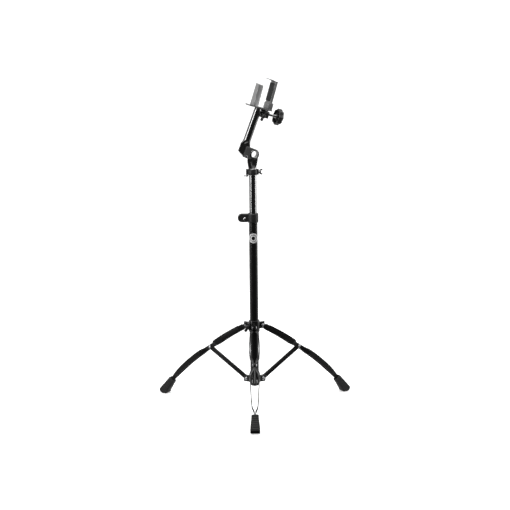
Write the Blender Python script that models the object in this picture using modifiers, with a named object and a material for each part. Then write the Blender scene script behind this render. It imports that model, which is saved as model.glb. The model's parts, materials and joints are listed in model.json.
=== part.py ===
"""Bongo stand: folding tripod, telescoping mast, tilter and two-jaw drum clamp.

Units are metres, +Z is up and the stand is open, ready to play.  The origin is
on the floor, in the middle of the stand's footprint box.  The mast stands at
x = 0; the front leg points along -Y.

The frames nest: root, mast, mast head, tilter, arm, clamp.  Each leg has a frame
turned to its azimuth, with local X radial and local Y along the tangent.
"""
from math import acos, asin, atan2, copysign, cos, degrees, pi, radians, sin, sqrt

import bpy
import bmesh
from mathutils import Matrix, Vector

# ------------------------------------------------------------------ shared sizes
GAP = 0.0003                # clearance between neighbouring pieces
LOWER_R = 0.0127            # 25.4 mm lower tube
LOWER_BORE = 0.0118
UPPER_R = 0.0111            # 22.2 mm upper tube and arm tube
UPPER_BORE = 0.0099

LEG_AZIMUTH = {"front": -90, "right": 30, "left": 150}      # degrees
PIVOT_R = 0.026             # radius of the leg pivots and of the brace pivots
LINK = 0.150                # collar pivot to knee, and knee to hub pivot
LEG_ANGLE = radians(57)     # legs from the vertical, open
HUB_Z = 0.0800              # brace pivots
KNEE_Z = HUB_Z + LINK * cos(LEG_ANGLE)
KNEE_R = PIVOT_R + LINK * sin(LEG_ANGLE)
COLLAR_Z = HUB_Z + 2 * LINK * cos(LEG_ANGLE)
EAR_REACH = PIVOT_R + 0.0085    # hub and collar ears, from the mast axis
RIVET_R = 0.0025
HOLE_R = 0.0028             # rivet holes

TOE_R, TOE_Z = 0.3275, 0.0130   # outermost corner of a foot
FOOT_W_TOP = 0.0215
FOOT_W_SOLE = 0.029

TUBE_BOTTOM = 0.0665
LOWER_TOP = 0.5705
UPPER_BOTTOM = 0.3000
PIVOT_Z = 0.7604            # tilter pivot
PIVOT_DX = 0.0040           # pivot beside the mast axis
HEAD_TURN = radians(25)     # mast top turned about the vertical
ARM_TILT = radians(22.2)    # arm from the vertical
ARM_X = -0.0358             # arm axis beside the pivot
ARM_TOP = 0.1320            # where the arm's axis meets the plate
CANT = radians(4.5)         # plate off square to the arm

EYE_R = 0.0152              # rounded end of the upper tube, and of the cheeks
EYE_T = 0.0040
WASHER_T = 0.0008
CHEEK_T = 0.0025
WASHER_Y = EYE_T / 2 + GAP              # inner face of a washer
CHEEK_Y = WASHER_Y + WASHER_T + GAP     # inner face of a cheek
STACK_Y = CHEEK_Y + CHEEK_T             # outer face of a cheek
SLEEVE_R = 0.0113
SLEEVE_BORE = 0.0100

SPINDLE_Z = -0.0113         # spindle axis below the plate's underside

# ------------------------------------------------------------------ scene
for old in list(bpy.data.objects):
    bpy.data.objects.remove(old, do_unlink=True)


def collection(name):
    group = bpy.data.collections.new(name)
    bpy.context.scene.collection.children.link(group)
    return group


PARTS = collection("bongo_stand")
CUTTERS = collection("cutters")
ZERO = (0, 0, 0)

# finish: (base colour, roughness, metallic)
FINISH = {
    "gloss_black": ((0.012, 0.012, 0.013), 0.22, 0.0),
    "black_nickel": ((0.09, 0.09, 0.095), 0.18, 1.0),
    "chrome": ((0.78, 0.78, 0.80), 0.12, 1.0),
    "zinc": ((0.55, 0.56, 0.58), 0.30, 1.0),
    "black_plastic": ((0.018, 0.018, 0.019), 0.45, 0.0),
    "rubber": ((0.015, 0.015, 0.015), 0.75, 0.0),
    "nylon": ((0.03, 0.03, 0.03), 0.5, 0.0),
    "grey_steel": ((0.30, 0.30, 0.31), 0.30, 1.0),
    "badge_white": ((0.85, 0.85, 0.84), 0.35, 0.0),
}


def material(name, finish):
    colour, roughness, metallic = FINISH[finish]
    mat = bpy.data.materials.new(name + "_" + finish)
    mat.use_nodes = True
    shader = mat.node_tree.nodes["Principled BSDF"]
    shader.inputs["Base Color"].default_value = (*colour, 1.0)
    shader.inputs["Roughness"].default_value = roughness
    shader.inputs["Metallic"].default_value = metallic
    return mat


def add_object(name, data, group, parent, place, turn):
    obj = bpy.data.objects.new(name, data)
    group.objects.link(obj)
    obj.parent = parent
    obj.location = place
    obj.rotation_euler = turn
    return obj


def empty(name, parent=None, place=ZERO, turn=ZERO):
    obj = add_object(name, None, PARTS, parent, place, turn)
    obj.empty_display_size = 0.02
    return obj


def put(name, mesh, finish, parent, place=ZERO, turn=ZERO, smooth=40):
    """Places a piece with a material of its own; smooth is in degrees, 0 for none."""
    mesh.name = name
    obj = add_object(name, mesh, PARTS, parent, place, turn)
    mesh.materials.append(material(name, finish))
    if smooth:
        mesh.shade_smooth()
        mesh.set_sharp_from_angle(angle=radians(smooth))
    return obj


def boolean(target, operation, name, mesh, parent, place=ZERO, turn=ZERO):
    """Adds a hidden helper and combines the target with it."""
    mesh.name = name
    helper = add_object(name, mesh, CUTTERS, parent, place, turn)
    helper.hide_render = True
    helper.display_type = 'WIRE'
    mod = target.modifiers.new(operation.lower() + "_" + name, 'BOOLEAN')
    mod.operation = operation
    mod.object = helper
    mod.solver = 'EXACT'


def cut(target, name, mesh, parent, place=ZERO, turn=ZERO):
    boolean(target, 'DIFFERENCE', name, mesh, parent, place, turn)


def join(target, name, mesh, parent, place=ZERO, turn=ZERO):
    boolean(target, 'UNION', name, mesh, parent, place, turn)


# ------------------------------------------------------------------ solids
# turns from +Z to a rod's axis, and from XY to the plane of a plate
AXIS_TURN = {'Z': Matrix(), 'X': Matrix.Rotation(pi / 2, 4, 'Y'),
             'Y': Matrix.Rotation(-pi / 2, 4, 'X')}
PLANE_TURN = {'XY': Matrix(), 'XZ': Matrix.Rotation(pi / 2, 4, 'X'),
              'YZ': Matrix.Rotation(pi / 2, 4, 'Z') @ Matrix.Rotation(pi / 2, 4, 'X')}


def to_mesh(draft):
    draft.normal_update()
    bmesh.ops.recalc_face_normals(draft, faces=draft.faces)
    mesh = bpy.data.meshes.new("piece")
    draft.to_mesh(mesh)
    draft.free()
    return mesh


def box_draft(low, high):
    draft = bmesh.new()
    bmesh.ops.create_cube(draft, size=1.0)
    size = [b - a for a, b in zip(low, high)]
    middle = [(a + b) / 2 for a, b in zip(low, high)]
    bmesh.ops.scale(draft, vec=size, verts=draft.verts)
    bmesh.ops.translate(draft, vec=middle, verts=draft.verts)
    return draft


def cylinder_draft(radius, length, middle, segs):
    """Cylinder along Z with its middle at the given height."""
    draft = bmesh.new()
    bmesh.ops.create_cone(draft, cap_ends=True, cap_tris=False, segments=segs,
                          radius1=radius, radius2=radius, depth=length)
    bmesh.ops.translate(draft, vec=(0, 0, middle), verts=draft.verts)
    return draft


def slice_draft(draft, positions, normal):
    """Adds an edge loop square to the normal at each position along it."""
    for position in positions:
        geom = list(draft.verts) + list(draft.edges) + list(draft.faces)
        bmesh.ops.bisect_plane(draft, geom=geom, plane_co=Vector(normal) * position,
                               plane_no=normal)


def block(low, high, bevel=0.0):
    """Box between two corners, with optional chamfered edges."""
    draft = box_draft(low, high)
    if bevel:
        bmesh.ops.bevel(draft, geom=list(draft.edges), offset=bevel, segments=1,
                        profile=0.5, affect='EDGES')
    return to_mesh(draft)


def rod(radius, length, axis, start, segs):
    """Cylinder that starts at `start` on its axis and runs along +axis."""
    draft = cylinder_draft(radius, length, start + length / 2, segs)
    bmesh.ops.transform(draft, matrix=AXIS_TURN[axis], verts=draft.verts)
    return to_mesh(draft)


def turned(name, profile, finish, parent, place=ZERO, turn=ZERO, segs=32, closed=False):
    """Turned piece from a (radius, z) profile; a closed profile makes a ring."""
    mesh = bpy.data.meshes.new(name)
    last = len(profile) - 1
    edges = [(i, i + 1) for i in range(last)]
    if closed:
        edges.append((last, 0))
    mesh.from_pydata([(radius, 0, z) for radius, z in profile], edges, [])
    obj = put(name, mesh, finish, parent, place, turn, smooth=0)
    mod = obj.modifiers.new("turn", 'SCREW')
    mod.axis = 'Z'
    mod.angle = 2 * pi
    mod.steps = mod.render_steps = segs
    mod.use_merge_vertices = True
    mod.merge_threshold = 0.00001
    mod.use_smooth_shade = True
    return obj


def ring(name, outer, inner, bottom, top, finish, parent, segs=32):
    profile = [(outer, top), (outer, bottom), (inner, bottom), (inner, top)]
    return turned(name, profile, finish, parent, segs=segs, closed=True)


def plate(loops, thick, plane='XY'):
    """Flat piece from closed outlines; inner outlines are holes.

    The outline lies in `plane`, and half the thickness is on each side of it.
    """
    curve = bpy.data.curves.new("outline", 'CURVE')
    curve.dimensions = '2D'
    curve.fill_mode = 'BOTH'
    curve.extrude = thick / 2
    for loop in loops:
        spline = curve.splines.new('POLY')
        spline.points.add(len(loop) - 1)
        for point, (x, y) in zip(spline.points, loop):
            point.co = (x, y, 0, 1)
        spline.use_cyclic_u = True
    obj = bpy.data.objects.new("outline", curve)
    PARTS.objects.link(obj)
    bpy.context.view_layer.update()
    depsgraph = bpy.context.evaluated_depsgraph_get()
    filled = bpy.data.meshes.new_from_object(obj.evaluated_get(depsgraph))
    draft = bmesh.new()
    draft.from_mesh(filled)
    bmesh.ops.remove_doubles(draft, verts=draft.verts, dist=1e-6)
    bmesh.ops.transform(draft, matrix=PLANE_TURN[plane], verts=draft.verts)
    bpy.data.objects.remove(obj, do_unlink=True)
    bpy.data.curves.remove(curve)
    bpy.data.meshes.remove(filled)
    return to_mesh(draft)


def bent_bar(stations, across, through, bend):
    """Square bar cut at the stations, then bent by bend(along, across, through)."""
    draft = box_draft((stations[0], across[0], through[0]),
                      (stations[-1], across[1], through[1]))
    slice_draft(draft, stations[1:-1], (1, 0, 0))
    for vert in draft.verts:
        vert.co = bend(*vert.co)
    return to_mesh(draft)


# ------------------------------------------------------------------ outlines
def arc(x, y, radius, start, end, steps):
    """steps + 1 points on a circle between two angles in degrees."""
    angles = [radians(start + (end - start) * i / steps) for i in range(steps + 1)]
    return [(x + radius * cos(angle), y + radius * sin(angle)) for angle in angles]


def circle(radius, segs=32, x=0.0, y=0.0):
    return arc(x, y, radius, 0, 360, segs)[:-1]


def capsule(x0, x1, radius):
    """Outline round two equal circles centred on the X axis."""
    base = degrees(atan2(0, x1 - x0))
    return (arc(x1, 0, radius, base - 90, base + 90, 8)
            + arc(x0, 0, radius, base + 90, base + 270, 8))


def rounded_rect(x0, y0, x1, y1, radius):
    corners = [(x1 - radius, y1 - radius), (x0 + radius, y1 - radius),
               (x0 + radius, y0 + radius), (x1 - radius, y0 + radius)]
    return [point for i, (x, y) in enumerate(corners)
            for point in arc(x, y, radius, 90 * i, 90 * i + 90, 4)]


def star(body_r, arms):
    """Outline of a round body with square-ended arms.

    Each arm is (azimuth in degrees, reach, half width, half slot).
    """
    points = []
    arms = sorted(arms)
    for i, (azimuth, reach, half, slot) in enumerate(arms):
        root = sqrt(body_r ** 2 - half ** 2)
        chamfer = min(0.0015, half / 3)
        slot_root = body_r + 0.0012
        if slot:
            end = [(reach, -half), (reach, -slot), (slot_root, -slot),
                   (slot_root, slot), (reach, slot), (reach, half)]
        else:
            end = [(reach - chamfer, -half), (reach, -half + chamfer),
                   (reach, half - chamfer), (reach - chamfer, half)]
        cosine, sine = cos(radians(azimuth)), sin(radians(azimuth))
        points += [(x * cosine - y * sine, x * sine + y * cosine)
                   for x, y in [(root, -half), *end, (root, half)]]
        next_azimuth, _, next_half, _ = arms[(i + 1) % len(arms)]
        arc_start = azimuth + degrees(asin(half / body_r))
        arc_end = next_azimuth - degrees(asin(next_half / body_r))
        if arc_end < arc_start:
            arc_end += 360
        points += arc(0, 0, body_r, arc_start, arc_end, 8)[1:-1]
    return points


def smoothstep(t):
    t = min(max(t, 0.0), 1.0)
    return t * t * (3 - 2 * t)


def blend_table(table, station):
    """Value at a station, eased between the (station, value) rows of a table."""
    if station <= table[0][0]:
        return table[0][1]
    for (start, value0), (end, value1) in zip(table, table[1:]):
        if station <= end:
            return value0 + (value1 - value0) * smoothstep((station - start) / (end - start))
    return table[-1][1]


def squared_sine(angle, squareness):
    """Sine that makes a section squarer than an ellipse as squareness rises from 0."""
    return copysign(abs(sin(angle)) ** (1 - squareness), sin(angle))


# ------------------------------------------------------------------ fasteners
ALONG_TANGENT = (-pi / 2, 0, 0)     # a turned piece's Z to its leg frame's +Y
TOWARDS_FRONT = (pi / 2, 0, 0)      # a turned piece's Z to its parent's -Y


def rivet(name, parent, half_len, place):
    """Domed rivet along the tangent, both heads formed."""
    head_r = 0.0046
    head_h = 0.0020
    half = [(0, half_len + head_h), (head_r * 0.55, half_len + head_h * 0.85),
            (head_r, half_len + head_h * 0.3), (head_r, half_len), (RIVET_R, half_len)]
    profile = half + [(radius, -z) for radius, z in reversed(half)]
    turned(name, profile, "zinc", parent, place, ALONG_TANGENT, segs=14)


def wing_outline(hub_r, hub_len, span, height):
    """(x, z) outline of the wing on the +X side."""
    return [(0.25 * hub_r, hub_len * 0.15), (hub_r * 1.1, hub_len * 0.12),
            (span * 0.75, height * 0.30), (span, height * 0.62),
            (span * 0.97, height * 0.9), (span * 0.82, height),
            (span * 0.62, height * 0.93), (hub_r * 1.0, hub_len * 0.85),
            (0.25 * hub_r, hub_len * 0.8)]


def mirrored(points):
    return [(-x, y) for x, y in reversed(points)]


def wing_bolt(name, finish, parent, shank_r, shank_len, hub_r, hub_len, span, height,
              thick, segs=16):
    """Wing bolt along the parent's Z: shank below z = 0, hub and wings above."""
    profile = [(0, hub_len), (hub_r * 0.8, hub_len), (hub_r, hub_len * 0.7), (hub_r, 0),
               (shank_r, 0), (shank_r, -shank_len), (0, -shank_len)]
    bolt = turned(name, profile, finish, parent, segs=segs)
    wing = wing_outline(hub_r, hub_len, span, height)
    join(bolt, name + "_wings", plate([wing + mirrored(wing)], thick, 'XZ'), parent)


def wing_nut(name, finish, parent, bore_r, hub_r, hub_len, span, height, thick):
    """Wing nut on the parent's Z, seated at z = 0; the wings stay clear of the bore."""
    profile = [(hub_r * 0.8, hub_len), (hub_r, hub_len * 0.7), (hub_r, 0),
               (bore_r, 0), (bore_r, hub_len)]
    nut = turned(name, profile, finish, parent, segs=16, closed=True)
    wing = [(max(x, bore_r + 0.0012), z)
            for x, z in wing_outline(hub_r, hub_len, span, height)]
    for i, outline in enumerate((wing, mirrored(wing))):
        join(nut, name + "_wing_%d" % i, plate([outline], thick, 'XZ'), parent)


# ------------------------------------------------------------------ main frames
# footprint box: the front toe reaches -TOE_R, the side feet reach back by half of
# it plus their share of the sole's half width
BACK = TOE_R * 0.5 + FOOT_W_SOLE / 2 * cos(radians(30))
MAST_Y = (TOE_R - BACK) / 2

root = empty("stand_origin")
mast = empty("mast_axis", root, (0, MAST_Y, 0))
leg_frames = {leg: empty("leg_frame_%d" % azimuth, mast, ZERO, (0, 0, radians(azimuth)))
              for leg, azimuth in LEG_AZIMUTH.items()}
collar_frame = empty("collar_frame", mast, (0, 0, COLLAR_Z))
head = empty("mast_head", mast, (0, 0, PIVOT_Z), (0, 0, HEAD_TURN))
tilt = empty("tilt_pivot", head, (PIVOT_DX, 0, 0), (0, ARM_TILT, 0))
arm_frame = empty("arm_axis", tilt, (ARM_X, 0, 0))
clamp_frame = empty("clamp_axis", arm_frame, (0, 0, ARM_TOP), (0, -CANT, 0))

# ------------------------------------------------------------------ mast base
BRACE_T = 0.0040
BRACE_HALF_W = 0.0065
HUB_R = 0.0160
HUB_H = 0.018
HUB_SLEEVE_R = 0.0148
HUB_SLEEVE_H = 0.026


def make_lower_tube():
    ring("lower_tube", LOWER_R, LOWER_BORE, TUBE_BOTTOM, LOWER_TOP, "gloss_black", mast)
    plug_r = 0.0114
    turned("tube_end_plug",
           [(0, TUBE_BOTTOM + 0.014), (0.0105, TUBE_BOTTOM + 0.014),
            (plug_r, TUBE_BOTTOM + 0.012), (plug_r, TUBE_BOTTOM - GAP),
            (LOWER_R, TUBE_BOTTOM - GAP), (0.0124, TUBE_BOTTOM - 0.0028),
            (0.0095, TUBE_BOTTOM - 0.0052), (0, TUBE_BOTTOM - 0.0060)],
           "rubber", mast)


def make_hub():
    """Hub at the foot of the mast, with a slotted ear for each brace."""
    ears = [(azimuth, EAR_REACH, 0.0060, BRACE_T / 2 + GAP)
            for azimuth in LEG_AZIMUTH.values()]
    bore = circle(LOWER_R + GAP)
    hub = put("lower_hub", plate([star(HUB_R, ears), bore], HUB_H), "gloss_black",
              mast, (0, 0, HUB_Z))
    join(hub, "hub_sleeve", plate([circle(HUB_SLEEVE_R), bore], HUB_SLEEVE_H), mast,
         (0, 0, HUB_Z + 0.001))
    for leg, frame in leg_frames.items():
        place = (PIVOT_R, 0, HUB_Z)
        cut(hub, "hub_hole_" + leg, rod(HOLE_R, 0.024, 'Y', -0.012, 14), frame, place)
        rivet("hub_rivet_" + leg, frame, 0.0063, place)


def make_brace(leg, frame):
    """Flat bar from the hub pivot up to the knee."""
    pivot = empty("brace_pivot_" + leg, frame, (PIVOT_R, 0, HUB_Z),
                  (0, -(pi / 2 - LEG_ANGLE), 0))
    put("brace_" + leg,
        plate([capsule(0, LINK, BRACE_HALF_W), circle(HOLE_R, 14),
               circle(HOLE_R, 14, LINK)], BRACE_T, 'XZ'),
        "gloss_black", pivot)
    rivet("knee_rivet_" + leg, pivot, 0.0052, (LINK, 0, 0))


# ------------------------------------------------------------------ legs
STRIP_T = 0.0025            # leg strip thickness
STRIP_D = 0.0130            # leg strip depth
STRIP_END = 0.342           # strip length from the collar pivot
BEND_LEN = 0.178            # the leg bends over this length below the knee
FOOT_ANGLE = radians(41.5)  # leg end from the vertical
END_SPREAD = 0.00285        # outer half spread of the strips in the foot
COLLAR_DX = PIVOT_R - KNEE_R    # collar pivot, from the knee
COLLAR_DZ = COLLAR_Z - KNEE_Z

# (distance along the leg from the collar pivot, outer half spread of the strip pair)
SPREAD = [(0.009, 0.0058), (0.026, 0.0140), (0.092, 0.0162), (0.118, 0.0150),
          (0.141, 0.0048), (0.159, 0.0048), (0.190, 0.0158), (0.222, 0.0138),
          (0.268, 0.0122), (0.296, 0.0102), (0.323, END_SPREAD)]
# distances along the leg where the strips have edge loops
STATIONS = [-0.0068, 0.0, 0.009, 0.014, 0.020, 0.026, 0.048, 0.070, 0.092, 0.110, 0.118,
            0.126, 0.133, 0.141, 0.159, 0.167, 0.174, 0.182, 0.190, 0.206, 0.222,
            0.245, 0.268, 0.282, 0.296, 0.305, 0.314, 0.323, STRIP_END]

FOOT_TOP_AT = 0.328         # top of the foot, along the leg
FOOT_HALF_D = 0.010         # half depth of the foot's shaft
HEEL = (0.2985, 0.0090)     # (radius, z) where the shaft meets the inner edge
SOLE_IN, SOLE_OUT = 0.3045, 0.3150
SOLE_TOP_Z = 0.03           # corners below this height take the sole's width
POCKET_START = 0.311
POCKET_SIDE_GAP = 0.0004


def leg_angle(along):
    """Angle from the vertical: straight to the knee, then bent towards the foot."""
    bent = min(max((along - LINK) / BEND_LEN, 0.0), 1.0)
    return LEG_ANGLE + (FOOT_ANGLE - LEG_ANGLE) * bent


def leg_point(along):
    """(radius, z) offset from the collar pivot, summed in steps of about 1 mm."""
    radius = z = 0.0
    count = max(int(abs(along) / 0.001), 1)
    step = along / count
    for i in range(count):
        angle = leg_angle((i + 0.5) * step)
        radius += step * sin(angle)
        z -= step * cos(angle)
    return radius, z


def on_leg(along, across, y):
    """Point in the knee frame, `across` up and out from the leg's line."""
    radius, z = leg_point(along)
    angle = leg_angle(along)
    return Vector((COLLAR_DX + radius + across * cos(angle), y,
                   COLLAR_DZ + z + across * sin(angle)))


def make_strip(name, side, knee):
    """One of the leg's two flat strips; side is 1 for +Y and -1 for -Y."""
    def bend(along, across, through):
        outer = blend_table(SPREAD, along)
        # between the pivots the strip is deeper and stands a little proud of the line
        full = (smoothstep((outer - 0.0060) / 0.0085)
                * (1 - smoothstep((along - 0.286) / 0.020)))
        across = across * (1 + 0.38 * full) + 0.0012 * full
        if 0 < along < LINK:
            across += 0.0020 * sin(pi * along / LINK) ** 2
        return on_leg(along, across, side * (outer - STRIP_T + through))

    strip = put(name, bent_bar(STATIONS, (-STRIP_D / 2, STRIP_D / 2), (0, STRIP_T), bend),
                "gloss_black", knee)
    drill_len = 0.012
    drill_start = 0.0 if side > 0 else -drill_len
    for pivot, place in (("top", (COLLAR_DX, 0, COLLAR_DZ)), ("knee", ZERO)):
        cut(strip, name + "_hole_" + pivot, rod(HOLE_R, drill_len, 'Y', drill_start, 14),
            knee, place)


def make_foot(leg, knee):
    """Rubber boot: shaft square to the leg end, flat sole on the floor, wider below."""
    radius, z = leg_point(FOOT_TOP_AT)
    top_r, top_z = PIVOT_R + radius, COLLAR_Z + z
    step_r, step_z = FOOT_HALF_D * cos(FOOT_ANGLE), FOOT_HALF_D * sin(FOOT_ANGLE)
    outline = [(top_r + step_r, top_z + step_z), (top_r - step_r, top_z - step_z),
               HEEL, (SOLE_IN, 0.0), (SOLE_OUT, 0.0), (TOE_R, TOE_Z)]
    mesh = plate([outline], 1.0, 'XZ')
    for vert in mesh.vertices:
        width = FOOT_W_TOP if vert.co.z > SOLE_TOP_Z else FOOT_W_SOLE
        vert.co.y = width / 2 if vert.co.y > 0 else -width / 2
        vert.co.x -= KNEE_R
        vert.co.z -= KNEE_Z
    foot = put("foot_" + leg, mesh, "rubber", knee, smooth=0)
    half_d = STRIP_D / 2 + GAP
    half_w = END_SPREAD + POCKET_SIDE_GAP
    cut(foot, "foot_pocket_" + leg,
        bent_bar([POCKET_START, STRIP_END + GAP], (-half_d, half_d), (-half_w, half_w),
                 lambda along, across, through: on_leg(along, across, through)), knee)


def make_legs():
    for leg, frame in leg_frames.items():
        make_brace(leg, frame)
        knee = empty("knee_" + leg, frame, (KNEE_R, 0, KNEE_Z))
        for side, tag in ((1, "a"), (-1, "b")):
            make_strip("leg_%s_strip_%s" % (leg, tag), side, knee)
        make_foot(leg, knee)


# ------------------------------------------------------------------ upper collar
COLLAR_R = 0.0158
COLLAR_H = 0.020
COLLAR_SLEEVE_R = 0.0162
COLLAR_SLEEVE_H = 0.033
COLLAR_BUSH_R = 0.0137
EAR_T = 0.0060
COLLAR_BOLT_AZ = -150       # degrees
BOSS_REACH = 0.0200
COLLAR_BOLT_R = 0.0030


def make_collar():
    """Collar that carries the legs, with a boss for its wing bolt."""
    ears = [(azimuth, EAR_REACH, EAR_T / 2, 0) for azimuth in LEG_AZIMUTH.values()]
    boss = (COLLAR_BOLT_AZ + 360, BOSS_REACH, 0.0070, 0)
    bore = circle(COLLAR_BUSH_R + GAP)
    collar = put("leg_collar", plate([star(COLLAR_R, ears + [boss]), bore], COLLAR_H),
                 "gloss_black", collar_frame)
    join(collar, "collar_sleeve", plate([circle(COLLAR_SLEEVE_R), bore], COLLAR_SLEEVE_H),
         collar_frame)
    ring("collar_bush", COLLAR_BUSH_R, LOWER_R + GAP, -COLLAR_SLEEVE_H / 2,
         COLLAR_SLEEVE_H / 2, "nylon", collar_frame)
    for leg, frame in leg_frames.items():
        place = (PIVOT_R, 0, COLLAR_Z)
        cut(collar, "collar_hole_" + leg, rod(HOLE_R, 0.016, 'Y', -0.008, 14), frame, place)
        rivet("collar_rivet_" + leg, frame, 0.0061, place)

    azimuth = radians(COLLAR_BOLT_AZ)
    seat = BOSS_REACH + 0.0004
    bolt_frame = empty("collar_bolt_frame", collar_frame,
                       (seat * cos(azimuth), seat * sin(azimuth), 0), (0, pi / 2, azimuth))
    cut(collar, "collar_bolt_hole", rod(COLLAR_BOLT_R + GAP, 0.012, 'Z', -0.0085, 16),
        bolt_frame)
    wing_bolt("collar_wing_bolt", "black_plastic", bolt_frame, shank_r=COLLAR_BOLT_R,
              shank_len=0.0060, hub_r=0.0065, hub_len=0.010, span=0.015, height=0.013,
              thick=0.0050)


# ------------------------------------------------------------------ badge
BADGE_Z = 0.5111
BADGE_R = 0.0150


def make_badge():
    """Round badge wrapped on the front of the lower tube."""
    badge = ring("badge", LOWER_R + 0.0009, LOWER_R + GAP, BADGE_Z - 0.018, BADGE_Z + 0.018,
                 "badge_white", mast, segs=64)
    boolean(badge, 'INTERSECT', "badge_disc", rod(BADGE_R, 0.030, 'Y', -0.030, 32), mast,
            (0, 0, BADGE_Z))


# ------------------------------------------------------------------ height clamp
CLAMP_Z0 = 0.5568
CLAMP_Z1 = 0.5842
CLAMP_R = 0.0156
CLAMP_EDGE_R = 0.0146       # end faces, inside the chamfers
CLAMP_CHAMFER_H = 0.0015
CLAMP_ROOF = 0.0026         # thickness above the lower tube's bore
LUG_Z = (CLAMP_Z0 + CLAMP_Z1) / 2
LUG_R = 0.0118
LUG_T = 0.0140
LUG_END = -0.0450
CLAMP_BOLT_X = -0.0245
CLAMP_BOLT_Z = LUG_Z - 0.002
CLAMP_BOLT_R = 0.0030
CLAMP_SEAT = LUG_T / 2 + GAP    # bolt head and wing nut, from the lug's middle plane


def make_height_clamp():
    clamp = turned("height_clamp_body",
                   [(0, CLAMP_Z1), (CLAMP_EDGE_R, CLAMP_Z1),
                    (CLAMP_R, CLAMP_Z1 - CLAMP_CHAMFER_H),
                    (CLAMP_R, CLAMP_Z0 + CLAMP_CHAMFER_H),
                    (CLAMP_EDGE_R, CLAMP_Z0), (0, CLAMP_Z0)],
                   "black_plastic", mast)
    join(clamp, "clamp_lug",
         plate([capsule(-0.0100, LUG_END + LUG_R, LUG_R)], LUG_T, 'XZ'), mast, (0, 0, LUG_Z))
    overrun = 0.004
    cut(clamp, "clamp_bore_low",
        rod(LOWER_R + GAP, CLAMP_Z1 - CLAMP_ROOF - CLAMP_Z0 + overrun, 'Z',
            CLAMP_Z0 - overrun, 32), mast)
    cut(clamp, "clamp_bore_top", rod(0.0118, 0.006, 'Z', CLAMP_Z1 - 0.003, 32), mast)
    cut(clamp, "clamp_slot", block((-0.0500, -0.0009, -0.020), (-0.0080, 0.0009, 0.020)),
        mast, (0, 0, LUG_Z))
    cut(clamp, "clamp_bolt_hole", rod(CLAMP_BOLT_R + GAP, 0.030, 'Y', -0.015, 16), mast,
        (CLAMP_BOLT_X, 0, CLAMP_BOLT_Z))
    ring("height_clamp_bush", LOWER_R, UPPER_R + GAP, LOWER_TOP + GAP,
         CLAMP_Z1 - CLAMP_ROOF - GAP, "nylon", mast)


def make_height_clamp_bolt():
    """Bolt through the lug: head in front, wing nut behind."""
    turned("height_clamp_bolt",
           [(0, 0.0095), (0.0030, 0.0092), (0.0044, 0.0082), (0.0046, CLAMP_SEAT),
            (CLAMP_BOLT_R, CLAMP_SEAT), (CLAMP_BOLT_R, -0.0230), (0, -0.0230)],
           "chrome", mast, (CLAMP_BOLT_X, 0, CLAMP_BOLT_Z), TOWARDS_FRONT, segs=16)
    nut_frame = empty("clamp_nut_frame", mast, (CLAMP_BOLT_X, CLAMP_SEAT, CLAMP_BOLT_Z),
                      (-pi / 2, radians(35), 0))
    wing_nut("height_clamp_wing_nut", "black_plastic", nut_frame,
             bore_r=CLAMP_BOLT_R + GAP, hub_r=0.0070, hub_len=0.012, span=0.0150,
             height=0.0145, thick=0.0045)


# ------------------------------------------------------------------ upper mast
BLADE_R = 0.0170            # half width of the pressed end under the eye
PRESS_Z0, PRESS_Z1 = -0.0440, -0.0175   # pressing from round to blade, from the pivot


def make_guide_bush():
    """Bush plugged into the bottom of the upper tube, with a flange below it."""
    plug_r = UPPER_BORE - GAP
    flange_r = 0.0114
    bore_r = 0.0070
    turned("guide_bush",
           [(bore_r, UPPER_BOTTOM + 0.012), (0.0092, UPPER_BOTTOM + 0.012),
            (plug_r, UPPER_BOTTOM + 0.010), (plug_r, UPPER_BOTTOM - GAP),
            (flange_r, UPPER_BOTTOM - GAP), (flange_r, UPPER_BOTTOM - 0.016),
            (0.0108, UPPER_BOTTOM - 0.018), (bore_r, UPPER_BOTTOM - 0.018)],
           "nylon", mast, closed=True)


def pressed_tube():
    """Tube along Z, its top pressed to a blade that rounds off into the pivot's eye."""
    heights = [UPPER_BOTTOM - PIVOT_Z, PRESS_Z0]
    heights += [PRESS_Z0 + (PRESS_Z1 - PRESS_Z0) * f for f in (0.04, 0.15, 0.35, 0.65, 1.0)]
    heights += [-0.0110, -0.0050]
    heights += [EYE_R * f for f in (0.0, 0.3, 0.55, 0.75, 0.9, 0.985)]
    bottom, top = heights[0], heights[-1]
    draft = cylinder_draft(UPPER_R, top - bottom, (bottom + top) / 2, 32)
    slice_draft(draft, heights[1:-1], (0, 0, 1))
    for vert in draft.verts:
        x, y, z = vert.co
        pressed = min(max((z - PRESS_Z0) / (PRESS_Z1 - PRESS_Z0), 0.0), 1.0) ** 0.5
        to_eye = smoothstep((z - PRESS_Z1) / -PRESS_Z1)
        if z > 0:
            half_w = EYE_R * sqrt(max(1 - (z / EYE_R) ** 2, 0.0))
        else:
            half_w = UPPER_R + (BLADE_R - UPPER_R) * pressed + (EYE_R - BLADE_R) * to_eye
        half_t = UPPER_R + (EYE_T / 2 - UPPER_R) * pressed
        angle = atan2(y, x)
        vert.co.x = PIVOT_DX * to_eye + half_w * cos(angle)
        vert.co.y = half_t * squared_sine(angle, 0.62 * pressed)
    return to_mesh(draft)


def make_upper_tube():
    tube = put("upper_tube", pressed_tube(), "black_nickel", head)
    cut(tube, "upper_bore", rod(UPPER_BORE, 0.4255, 'Z', -0.4700, 32), head)
    cut(tube, "upper_eye", rod(SLEEVE_R + GAP, 0.030, 'Y', -0.015, 32), head,
        (PIVOT_DX, 0, 0))


# ------------------------------------------------------------------ memory lock
LOCK_Z0 = 0.7000
LOCK_Z1 = 0.7158
LOCK_R = 0.0145
LOCK_BOLT_R = 0.0024
KEY_X = -0.0168
KEY_R = 0.0014


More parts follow.
